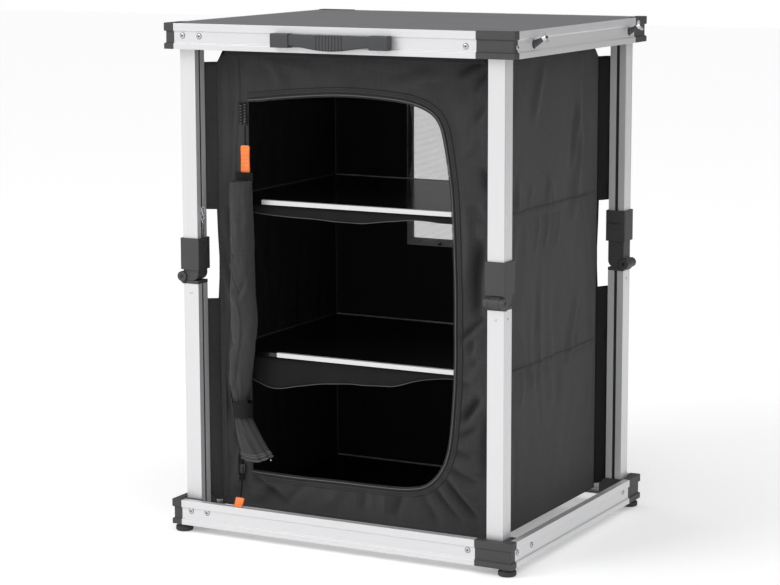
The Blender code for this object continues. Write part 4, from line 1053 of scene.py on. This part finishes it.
def build_top_hem(name, panel, half):
    """The turned hem along the top of a wall, with its row of stitches; the hem is in the darker zip tape,
    which paints the shade of the table rail above it.
    """
    half -= CORNER_CUT[0]
    line = [(x, CLOTH_HIGH - 0.0056) for x in np.linspace(-half, half, 90)]
    fold = [(-0.0055, 0.0001), (-0.0052, 0.0012), (0.0050, 0.0013), (0.0056, 0.0001)]
    # the darker tape on the hem is painted shade from the table rail
    band = piece(name + "_hem", *sweep(panel.place(line), panel.out, fold), tape, "base_frame")
    row = panel.place([(x, z - 0.0036) for x, z in line], 0.0013)
    return [band, sew(name + "_hem_stitches", [stitches(row, panel.out)])]


# Rolled door

ROLL_SIDES = 72
ROLL_TURNS = np.linspace(0, 2 * math.pi, ROLL_SIDES, endpoint=False)
# height, centre, half width and half depth, from the top down
ROLL = (
    (0.5622, -0.1901, 0.0178, 0.0158), (0.5322, -0.1901, 0.0184, 0.0166), (0.4312, -0.1870, 0.0198, 0.0180),
    (0.3412, -0.1856, 0.0218, 0.0180), (0.2700, -0.1925, 0.0186, 0.0170), (0.2452, -0.1960, 0.0168, 0.0162),
    (0.2330, -0.1973, 0.0150, 0.0150), (0.2142, -0.1995, 0.0092, 0.0110), (0.1862, -0.1935, 0.0125, 0.0125),
    (0.1602, -0.1835, 0.0200, 0.0122), (0.1192, -0.1705, 0.0282, 0.0095),
)
# its back, where the strap pinches it most and how far up and down, and where it flares below the strap
ROLL_BACK = -0.1899
PINCH_HEIGHT = 0.2002
PINCH_REACH = 0.028
FLARE_TOP = 0.185
FLARE_LENGTH = 0.065
# the strap's centre and half size
STRAP_X, STRAP_Y = -0.1936, ROLL_BACK - 0.0132
STRAP_HALF = (0.0160, 0.0155)
# turn, height, half turn, half height, depth and how far the ends curl up
ROLL_DENTS = ((4.62, 0.391, 0.62, 0.0080, 0.36, 0.012), (4.10, 0.4455, 0.34, 0.0060, 0.26, -0.006),
              (3.95, 0.3060, 0.40, 0.0080, 0.20, 0.006), (5.00, 0.5050, 0.50, 0.0120, 0.12, 0.010),
              (4.40, 0.2560, 0.55, 0.0100, 0.16, -0.010))


def dent_at(turn, height, at_turn, at_height, half_turn, half_height, depth, curl):
    """A soft dent in the roll with a raised lip below it."""
    aside = (turn - at_turn) / half_turn
    drop = (height - at_height - curl * aside ** 2) / half_height
    return -depth * math.exp(-aside ** 2 - drop ** 2) + depth * 0.45 * math.exp(-aside ** 2 - (drop + 1.9) ** 2)


def roll_ring(z):
    """The roll at one height: its winding, pleats at the strap, slack, creases and dents."""
    order = np.array(ROLL)[::-1]
    centre, across, deep = (np.interp(z, order[:, 0], order[:, k]) for k in (1, 2, 3))
    # the strap pinches the roll, and the free end flares below it
    pinch = math.exp(-((z - PINCH_HEIGHT) / PINCH_REACH) ** 2)
    flare = max(0.0, (FLARE_TOP - z) / FLARE_LENGTH)
    free_edge = -2.3 + 2.4 * (0.56 - z) + 0.35 * math.sin(z * 23)
    ring = []
    for a in ROLL_TURNS:
        c, s = math.cos(a), math.sin(a)
        wound = ((a - free_edge) / (2 * math.pi)) % 1.0
        layer = 1.0 + 0.12 * (wound - 0.5) * (1 - pinch)
        pleats = (0.10 * pinch + 0.05 * flare) * math.sin(9 * a + 14 * z) + 0.05 * pinch * math.sin(17 * a)
        slack = 0.13 * noise.noise(Vector((c * 1.3, s * 1.3, z * 14)))
        crease = 0.07 * noise.noise(Vector((c * 2.6 + z * 9, s * 2.6, z * 34)))
        size = layer + pleats + slack + crease + sum(dent_at(a, z, *dent) for dent in ROLL_DENTS)
        lift = 0.0080 * flare ** 2 * max(0.0, c) ** 2 - 0.0014 * flare ** 2 * max(0.0, -s) ** 2
        ring.append((centre + across * size * c, ROLL_BACK - deep + deep * size * s, z + lift))
    return ring


# the layers seen in an end of the roll: their share of its size and how far they stand out of it
ROLL_LAYERS = ((0.86, 0.0015), (0.80, -0.003), (0.62, -0.003), (0.56, 0.001), (0.42, 0.001), (0.36, -0.004))


def close_roll(points, faces, ring, first, outwards):
    """Close an end of the roll with the edges of the layers wound inside it."""
    middle = np.mean(ring, 0)
    loops = [list(range(first, first + ROLL_SIDES))]
    for shrink, rise in ROLL_LAYERS:
        start = len(points)
        points.extend(tuple(middle + (np.array(p) - middle) * shrink + (0, 0, outwards * rise)) for p in ring)
        loops.append(list(range(start, start + ROLL_SIDES)))
    closing = []
    for outer, inner in zip(loops, loops[1:]):
        for k in range(ROLL_SIDES):
            after = (k + 1) % ROLL_SIDES
            closing.append((outer[k], outer[after], inner[after], inner[k]))
    closing.append(tuple(loops[-1]))
    if outwards > 0:
        _, closing = inside_out((points, closing))
    faces.extend(closing)


def roll_hem(ring, proud):
    """A thin turned hem round the roll, a little outside it."""
    middle = np.mean(ring, 0)
    loop = [middle + (np.array(p) - middle) * (proud, proud, 1) for p in ring]
    steps = ((0.0, -0.0013), (0.03, -0.0010), (0.03, 0.0010), (0.0, 0.0013))
    return skin([[tuple(p + (p - middle) * out + (0, 0, up)) for p in loop] for out, up in steps], caps=False)


def build_strap():
    """The strap that holds the roll, a thin uneven ring of webbing."""
    half_x, half_y = STRAP_HALF
    outer = []
    for z in np.linspace(0.1885, 0.2120, 5):
        outer.append([(STRAP_X + half_x * math.cos(a) * (1 + 0.02 * math.sin(5 * a)),
                       STRAP_Y + half_y * math.sin(a), z + 0.0008 * math.sin(a * 2)) for a in ROLL_TURNS])
    inner = [[(STRAP_X + (x - STRAP_X) * 0.94, STRAP_Y + (y - STRAP_Y) * 0.94, z) for x, y, z in ring]
             for ring in reversed(outer)]
    strap = piece("roll_strap", *inside_out(skin(outer + inner, closed_path=True)), webbing, "base_frame")
    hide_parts("door_strap")
    return strap


def build_roll():
    """The door rolled up loosely, with the free edge winding down it, pleated at the strap."""
    heights = np.concatenate([np.linspace(0.5622, 0.2230, 110), np.linspace(0.2200, 0.1800, 24),
                              np.linspace(0.1770, 0.1192, 34)])
    rings = [roll_ring(z) for z in heights]
    points, faces = skin(rings, caps=False)
    close_roll(points, faces, rings[0], 0, 1)
    close_roll(points, faces, rings[-1], (len(rings) - 1) * ROLL_SIDES, -1)
    roll = piece("rolled_cloth", points, faces, cloth, "base_frame", smooth=55)
    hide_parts("rolled_door")
    near = [rings[int(np.argmin(np.abs(heights - z)))] for z in (0.1212, 0.1256, 0.1296)]
    hems = join_faces([roll_hem(ring, proud) for ring, proud in zip(near, (1.025, 1.03, 1.035))])
    hem = piece("roll_hem", *hems, thread, "base_frame")
    knob = [(0.0013, -0.0010), (0.0015, 0.0002), (0.0010, 0.0011), (0.00005, 0.0014)]
    button = turned(knob, (-0.1420, -0.2052, 0.1232), (0.3, -1, 0), 14)
    snap = piece("roll_snap", *button, steel, "base_frame")
    strap = build_strap()
    # a dark strip of webbing over the roll's open top: painted shade of the open end
    left, right = -0.2092, -0.1780
    mouth = [(x, -CLOTH_Y - 0.0030 - 0.0035 * math.sin((x - left) / (right - left) * math.pi), 0.5680)
             for x in np.linspace(left, right, 16)]
    lip = [(-0.0084, 0.0), (-0.0084, 0.0009), (0.0078, 0.0009), (0.0078, 0.0)]
    opening = piece("roll_mouth_shade", *sweep(mouth, (0, -1, 0), lip), webbing, "base_frame")
    fold_down([roll, hem, snap, strap, opening], *ROLL_FOLD)


# Pulls


def tab_points(width, thick, length):
    """A moulded tab hanging down from the origin, ribbed across and rounded at the edges."""
    rows, ribs = 40, 7
    rings = []
    for step in range(rows + 1):
        share = step / rows
        end = min(1.0, min(share, 1 - share) * 14 + 0.45)
        wave = 0.10 * thick * math.sin(share * ribs * 2 * math.pi) * (0.1 < share < 0.9)
        half = width / 2 * (1 - 0.06 * math.sin(share * math.pi)) * end ** 0.4
        deep = thick / 2 * end + wave
        ring = []
        for a in np.linspace(0, 2 * math.pi, 16, endpoint=False):
            c, s = math.cos(a), math.sin(a)
            across = half * math.copysign(abs(c) ** 0.35, c)
            ring.append((across, deep * math.copysign(abs(s) ** 0.5, s), -length * share))
        rings.append(ring)
    return rings


# The lower tab leans from the end of its cord over the top of the front rail
LOWER_TAB = (
    (-0.1823, -0.2335, 0.0640), (-0.1813, -0.2376, 0.0588), (-0.1806, -0.2408, 0.0556),
    (-0.1794, -0.2445, 0.0542), (-0.1780, -0.2482, 0.0536),
)


def build_upper_pull():
    """The upper tab hanging straight down on its cord."""
    low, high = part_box("zip_pull_upper")
    top = np.array(((low.x + high.x) / 2 - MIDDLE.x, (low.y + high.y) / 2 - MIDDLE.y, high.z))
    place = top + (0, 0, -0.0302)
    hanging = tab_points(width=0.0165, thick=0.0032, length=0.0432)
    shape = skin([[np.array(p) + place for p in ring] for ring in hanging])
    tab = piece("upper_pull_tab", *inside_out(shape), orange, "upper_pull")
    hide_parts("zip_pull_upper")
    length = 0.0315
    path = [top + (0, 0, -0.0002 - step * length / 16) for step in range(17)]
    cord = piece("upper_pull_cord", *tube(path, 0.0009, 10), webbing, "upper_pull")


def build_lower_pull():
    """The lower tab on its longer cord, which bends out over the front rail."""
    low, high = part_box("zip_pull_lower")
    start = np.array(((low.x + high.x) / 2 - MIDDLE.x, high.y - MIDDLE.y - 0.0010, high.z))
    bend = smooth_line(LOWER_TAB, 41)
    # the tab's own rings are put along the bend, so they come without a length
    flat = tab_points(width=0.0160, thick=0.0030, length=0.0)
    rings = []
    for centre, direction, ring in zip(bend, along(bend), flat):
        out = np.cross(direction, (1.0, 0, 0))
        rings.append([centre + np.array((p[0], 0, 0)) + out * p[1] for p in ring])
    tab = piece("lower_pull_tab", *inside_out(skin(rings)), orange, "lower_pull")
    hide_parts("zip_pull_lower")
    knots = [start, start + (0.0020, -0.0040, -0.0130), start + (0.0120, -0.0230, -0.0270), bend[2]]
    path = smooth_line(knots, 24)
    cord = piece("lower_pull_cord", *tube(path, 0.0013, 10), webbing, "lower_pull")
    fold_down([tab, cord], *PULL_FOLD)


# Shelves: metal edges and the hanging hems of the cloth below them

# Where a shelf's front edge starts, and how far its apron hangs down from left to right
EDGE_STARTS = {"upper_shelf": -0.1665, "lower_shelf": -0.1415}
EDGE_END = 0.1840
REAR_HALF = 0.2360
APRON_FALLS = {
    "upper_shelf": [
        (-0.2150, 0.0100), (-0.1800, 0.0150), (-0.1300, 0.0185), (-0.0600, 0.0200), (0.0050, 0.0212),
        (0.0600, 0.0150), (0.1000, 0.0105), (0.1500, 0.0125), (0.1850, 0.0120),
    ],
    "lower_shelf": [
        (-0.2150, 0.0360), (-0.1950, 0.0400), (-0.1500, 0.0520), (-0.1050, 0.0450), (-0.0500, 0.0360),
        (0.0100, 0.0325), (0.0650, 0.0290), (0.1050, 0.0170), (0.1500, 0.0100), (0.1850, 0.0090),
    ],
}


def build_board_edge():
    """The metal edge along the rear of the bottom board."""
    low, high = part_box("bottom_board")
    y, top = high.y - MIDDLE.y, high.z
    section = [(y + 0.0002, top - 0.004), (y + 0.0002, top + 0.0006), (y - 0.0070, top + 0.0006),
               (y - 0.0070, top - 0.0002)]
    rings = [[(x, a, b) for a, b in section] for x in (low.x - MIDDLE.x + 0.004, high.x - MIDDLE.x - 0.004)]
    piece("bottom_board_edge", *skin(rings), cross_metal, "base_frame", smooth=30)


def shelf_edge(body, top, side):
    """A thin metal angle over a shelf's front or rear edge."""
    face, inner, behind = (side * (SHELF_Y + reach) for reach in (0.0004, -0.0070, -0.0002))
    low = top - (SHELF_LIP if side < 0 else SHELF_THICK) - 0.0004
    section = [(face, low), (face, top + 0.0006), (inner, top + 0.0006), (inner, top + 0.0001),
               (behind, top + 0.0001), (behind, low)]
    ends = (EDGE_STARTS[body], EDGE_END) if side < 0 else (-REAR_HALF, REAR_HALF)
    return skin([[(x, a, b) for a, b in section] for x in ends])


def build_apron(body, top):
    """The cloth that hangs below a shelf's front edge, with its rim; its near-black colour is painted shade
    under the shelf.
    """
    under = top - SHELF_THICK - 0.0006
    line = smooth_line(APRON_FALLS[body], 120)
    rows = 9
    points = []
    for row in range(rows):
        share = row / (rows - 1)
        for x, fall in line:
            billow = 0.0045 * math.sin(share * math.pi * 0.9) * (0.6 + 0.4 * math.sin(x * 31 + top * 40))
            ripple = 0.0022 * share * math.sin(x * 74 + math.sin(x * 23) * 2)
            points.append((x, -SHELF_Y + 0.0070 - billow - ripple, under - fall * share))
    count = len(line)
    corners = [row * count + column for row in range(rows - 1) for column in range(count - 1)]
    faces = [(first, first + count, first + count + 1, first + 1) for first in corners]
    hem = thicken(piece(body + "_cloth_apron", points, faces, shaded_apron_cloth, body), 0.0008, 0.0)
    flat = (float(line[-1, 0] - line[0, 0]), float(line[:, 1].max()))
    bead = [(-0.0007, -0.0007), (-0.0007, 0.0007), (0.0005, 0.0007), (0.0005, -0.0007)]
    rim = piece(body + "_apron_rim", *sweep(points[-count:], (0, -1, 0), bead), thread, body)
    fold_down([hem, rim], under, APRON_KEEP)


def build_shelf_trim():
    """Metal edges, piping at both ends and the apron of each shelf."""
    for body, top in SHELF_TOPS.items():
        edges = join_faces([shelf_edge(body, top, side) for side in (-1, 1)])
        piece(body + "_metal_edges", *edges, cross_metal, body, smooth=30)
        lines = [[(side * 0.2385, y, top + 0.0008) for y in np.linspace(-0.178, 0.178, 12)] for side in (-1, 1)]
        piece(body + "_side_piping", *join_faces([tube(line, 0.0009, 8) for line in lines]), thread, body)
        build_apron(body, top)


# Screws, rivets and pins


def screw(place, out):
    """A raised cross-head screw: the head, and blocks of painted shade in its cross recess."""
    radius, proud = 0.0040, 0.0014
    head = [(radius, 0.0), (radius, proud * 0.35), (radius * 0.86, proud * 0.75), (radius * 0.55, proud),
            (0.00005, proud)]
    axis = Vector(out).normalized()
    side = axis.orthogonal().normalized()
    turn = Matrix.Rotation(math.radians(28), 3, axis)
    long, thin = radius * 0.56, radius * 0.13
    spans = ((-long, long), (-thin, thin), (proud * 0.6, proud + 0.00006))
    ways = (turn @ side, turn @ side.cross(axis))
    recess_shade_blocks = [block(Vector(place), (way, axis.cross(way), axis), spans) for way in ways]
    return turned(head, place, out, 18), join_faces(recess_shade_blocks)


# Screws by body: across and up on the front rail, then along and up on the right rail
FRONT_SCREWS = {
    "base_frame": ((-0.2656, 0.0355), (-0.2360, 0.0358), (0.2255, 0.0340)),
    "table_frame": ((-0.2670, 0.7905), (-0.2370, 0.7900), (0.2207, 0.7870)),
}
SIDE_SCREWS = {
    "base_frame": ((-0.2248, 0.0340), (0.1820, 0.0360), (-0.1740, 0.0335)),
    "table_frame": ((-0.2350, 0.7865),),
}


def build_screws():
    """Screws through the rails into the corner pieces; the far sides carry the same ones."""
    face_y = HALF_DEPTH - RAIL_RECESS
    face_x = HALF_WIDTH - RAIL_RECESS
    seat = [(0.0047, -0.0002), (0.0047, 0.00012), (0.0001, 0.00012)]
    for body in FRONT_SCREWS:
        spots = []
        for x, z in FRONT_SCREWS[body]:
            spots += [((x, -face_y, z), (0, -1, 0)), ((-x, face_y, z), (0, 1, 0))]
        for y, z in SIDE_SCREWS[body]:
            spots += [((face_x, y, z), (1, 0, 0)), ((-face_x, -y, z), (-1, 0, 0))]
        heads, recess_shades = zip(*[screw(place, out) for place, out in spots])
        seats = [turned(seat, place, out, 18) for place, out in spots]
        piece(body + "_screws", *join_faces(heads), steel, body)
        piece(body + "_screw_seats", *join_faces(seats), dark_steel, body)
        # painted shade in the screws' cross recesses
        piece(body + "_screw_recesses", *join_faces(recess_shades), black_teeth_and_recess_shade, body, smooth=0)


def build_washers():
    """Bright washers under the side studs."""
    disc = [(0.0078, -0.0002), (0.0078, 0.0008), (0.0074, 0.0011), (0.0001, 0.0011)]
    rounds = []
    for name in ("side_stud_front", "side_stud_rear"):
        low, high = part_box(name)
        middle = (low + high) / 2 - MIDDLE
        rounds.append(turned(disc, (HALF_WIDTH - RAIL_RECESS, middle.y, low.z + 0.0065), (1, 0, 0), 24))
    piece("side_stud_washers", *join_faces(rounds), steel, "table_frame")


def corner_turn(corner, direction):
    """A direction given in a corner's own axes."""
    return Matrix.Rotation(QUARTERS[corner] * math.pi / 2, 3, "Z") @ Vector(direction)


def corner_place(corner, x, y, z):
    """A point given in a corner's own axes."""
    side_x, side_y = ORIGINS[corner]
    return Vector((side_x * HALF_WIDTH, side_y * HALF_DEPTH, 0)) + corner_turn(corner, (x, y, z))


def build_leg_fittings():
    """Rivets on the lower tubes and the ends of the knees' pins."""
    rivet = [(0.0024, -0.0004), (0.0024, 0.0002), (0.0019, 0.0007), (0.0009, 0.0010), (0.00005, 0.0010)]
    rivet_places = (((0.0285, 0.0220, 0.3850), (0, -1, 0)), ((0.0150, 0.0355, 0.3850), (-1, 0, 0)))
    pin = [(0.0030, -0.0003), (0.0030, 0.0002), (0.0024, 0.0006), (0.00005, 0.0006)]
    pin_places = [((0.0132, 0.0355 + side * 0.0170, 0.41075), (0, side, 0)) for side in (-1, 1)]
    for corner in CORNERS:
        body = corner + "_lower_leg"
        for name, profile, places, finish, steps in (("tube_rivets", rivet, rivet_places, steel, 16),
                                                     ("knee_pin_ends", pin, pin_places, dark_steel, 18)):
            heads = [turned(profile, corner_place(corner, *place), corner_turn(corner, out), steps)
                     for place, out in places]
            piece(f"{corner}_{name}", *join_faces(heads), finish, body)


def build_leg_slot_shade():
    """Painted shade: dark strips at the floor of the T-shaped slot in each of the two inner sides of every leg.
    """
    leg_half = 0.0135
    for corner in CORNERS:
        for part in ("lower_leg", "upper_leg"):
            low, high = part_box(f"{part}_{corner}")
            ends = (low.z + 0.0006, high.z - 0.0006)
            strips = []
            for way in range(2):
                # the slot's narrow mouth and the wider part behind it
                for half, sunk in ((0.0026, 0.0011), (0.0050, 0.0024)):
                    face = leg_half - sunk
                    ring = [(-half, face - 0.0006), (half, face - 0.0006), (half, face), (-half, face)]
                    if way:
                        ring = [(b, -a) for a, b in ring]
                    rings = [[corner_place(corner, LEG_CENTRE[0] + a, LEG_CENTRE[1] + b, z) for a, b in ring]
                             for z in ends]
                    strips.append(inside_out(skin(rings)))
            piece(f"{part}_slot_shade_{corner}", *join_faces(strips), black_teeth_and_recess_shade, f"{corner}_{part}", smooth=0)


def build_spring_clip():
    """The wire clip above the front left sleeve and the strip that runs down into it."""
    face, middle = 0.042, 0.0345

    def at(x, y, z):
        return tuple(corner_place("front_left", x, y, z))

    strip = [(-0.0013, 0.0), (-0.0013, 0.0006), (0.0013, 0.0006), (0.0013, 0.0)]
    line = [at(face + 0.0024, middle, z) for z in np.linspace(0.4620, 0.4985, 12)]
    made = [sweep(line, tuple(corner_turn("front_left", (1, 0, 0))), strip)]
    for height, tall, wide in ((0.5125, 0.0085, 0.0032), (0.5015, 0.0080, 0.0050)):
        loop = []
        for a in np.linspace(-0.5, 2 * math.pi - 0.9, 26):
            out = face + 0.0032 + 0.0018 * math.sin(a * 2)
            loop.append(at(out, middle + wide * math.cos(a), height + tall * math.sin(a)))
        made.append(tube(loop, 0.0008, 8))
    hook = smooth_line([at(face + 0.0020, middle, 0.4985), at(face + 0.0046, 0.0330, 0.5030),
                        at(face + 0.0050, 0.0372, 0.5080), at(face + 0.0020, 0.0376, 0.5140),
                        at(face + 0.0006, middle, 0.5200)], 24)
    made.append(tube(hook, 0.0008, 8))
    piece("front_left_spring_clip", *join_faces(made), steel, "front_left_sleeve")


# Stage, light and camera


def build_stage():
    """A floor that the camera sees white; far to the right it throws less light back at the cupboard."""
    size = 14.0
    corners = [(-size, -size, 0), (size, -size, 0), (size, size, 0), (-size, size, 0)]
    mesh = bpy.data.meshes.new("floor")
    mesh.from_pydata(corners, [], [(0, 1, 2, 3)])
    floor = bpy.data.objects.new("floor", mesh)
    bpy.context.collection.objects.link(floor)
    floor.location.z = -0.0002
    white = Finish("floor_white", (0.90, 0.90, 0.90), 0.9, Emission_Strength=0.29)
    across, deep, _ = white.axes(white.places())
    # distance from the middle towards the camera's right
    away = across * 0.88 + deep * 0.47
    seen = white.node("ShaderNodeLightPath", output="Is Camera Ray")
    falloff = white.spread(away, 2.7, 4.0) * (1.0 - seen)
    white.lay("Base Color", white.blend(falloff, (0.90, 0.90, 0.90), (0.34, 0.34, 0.34)))
    white.lay("Emission Color", white.blend(falloff, (1.0, 1.0, 1.0), (0.0, 0.0, 0.0)))
    mesh.materials.append(white.material)


def light(name, place, target, size, power):
    """A square soft light that points at a target."""
    data = bpy.data.lights.new(name, "AREA")
    data.shape = "RECTANGLE"
    data.size, data.size_y = size, size
    data.energy = power
    made = bpy.data.objects.new(name, data)
    bpy.context.collection.objects.link(made)
    made.location = Vector(place) + MIDDLE
    aim = Vector(target) + MIDDLE - made.location
    made.rotation_euler = aim.to_track_quat("-Z", "Y").to_euler()


def build_light():
    """A white studio that is darker behind the cupboard, with a soft key and a weak light from the side."""
    world = bpy.data.worlds.new("studio")
    bpy.context.scene.world = world
    bpy.context.scene.view_settings.view_transform = "Standard"
    studio = Shades(world)
    _, behind, _ = studio.axes(studio.node("ShaderNodeTexCoord", output="Generated"))
    dimmed = studio.spread(behind, -0.10, 0.60, 1.0, 0.32)
    graded = studio.node("ShaderNodeBackground", {}, {"Color": dimmed, "Strength": 1.0})
    backdrop = studio.node("ShaderNodeBackground", {}, {"Color": (1.0, 1.0, 1.0, 1.0), "Strength": 1.0})
    seen = studio.node("ShaderNodeLightPath", output="Is Camera Ray")
    sky = studio.node("ShaderNodeMixShader", {}, {0: seen, 1: graded, 2: backdrop})
    studio.feed(studio.tree.nodes["World Output"].inputs["Surface"], sky)
    light("key", (-1.8, -2.8, 2.9), (0, 0, 0.5), size=1.8, power=46.0)
    light("side", (3.2, -1.6, 2.2), (0.24, 0, 0.45), size=1.2, power=5.0)


def build_camera():
    """A camera that sees the cupboard as the photograph does."""
    data = bpy.data.cameras.new("camera")
    data.lens = CAMERA_LENS
    data.sensor_width = 36.0
    camera = bpy.data.objects.new("camera", data)
    bpy.context.collection.objects.link(camera)
    flat = math.cos(CAMERA_HEIGHT)
    back = Vector((math.sin(CAMERA_AZIMUTH) * flat, -math.cos(CAMERA_AZIMUTH) * flat, math.sin(CAMERA_HEIGHT)))
    right = (-back).cross(Vector((0, 0, 1))).normalized()
    up = right.cross(-back)
    c, s = math.cos(CAMERA_ROLL), math.sin(CAMERA_ROLL)
    axes = Matrix((c * right + s * up, -s * right + c * up, back)).transposed()
    camera.matrix_world = Matrix.Translation(CAMERA_PLACE + MIDDLE) @ axes.to_4x4()
    bpy.context.scene.camera = camera


build_camera()
build_cabinet()
build_roll()
build_upper_pull()
build_lower_pull()
build_shelf_trim()
build_board_edge()
build_screws()
build_washers()
build_leg_fittings()
build_leg_slot_shade()
build_spring_clip()
build_stage()
build_light()
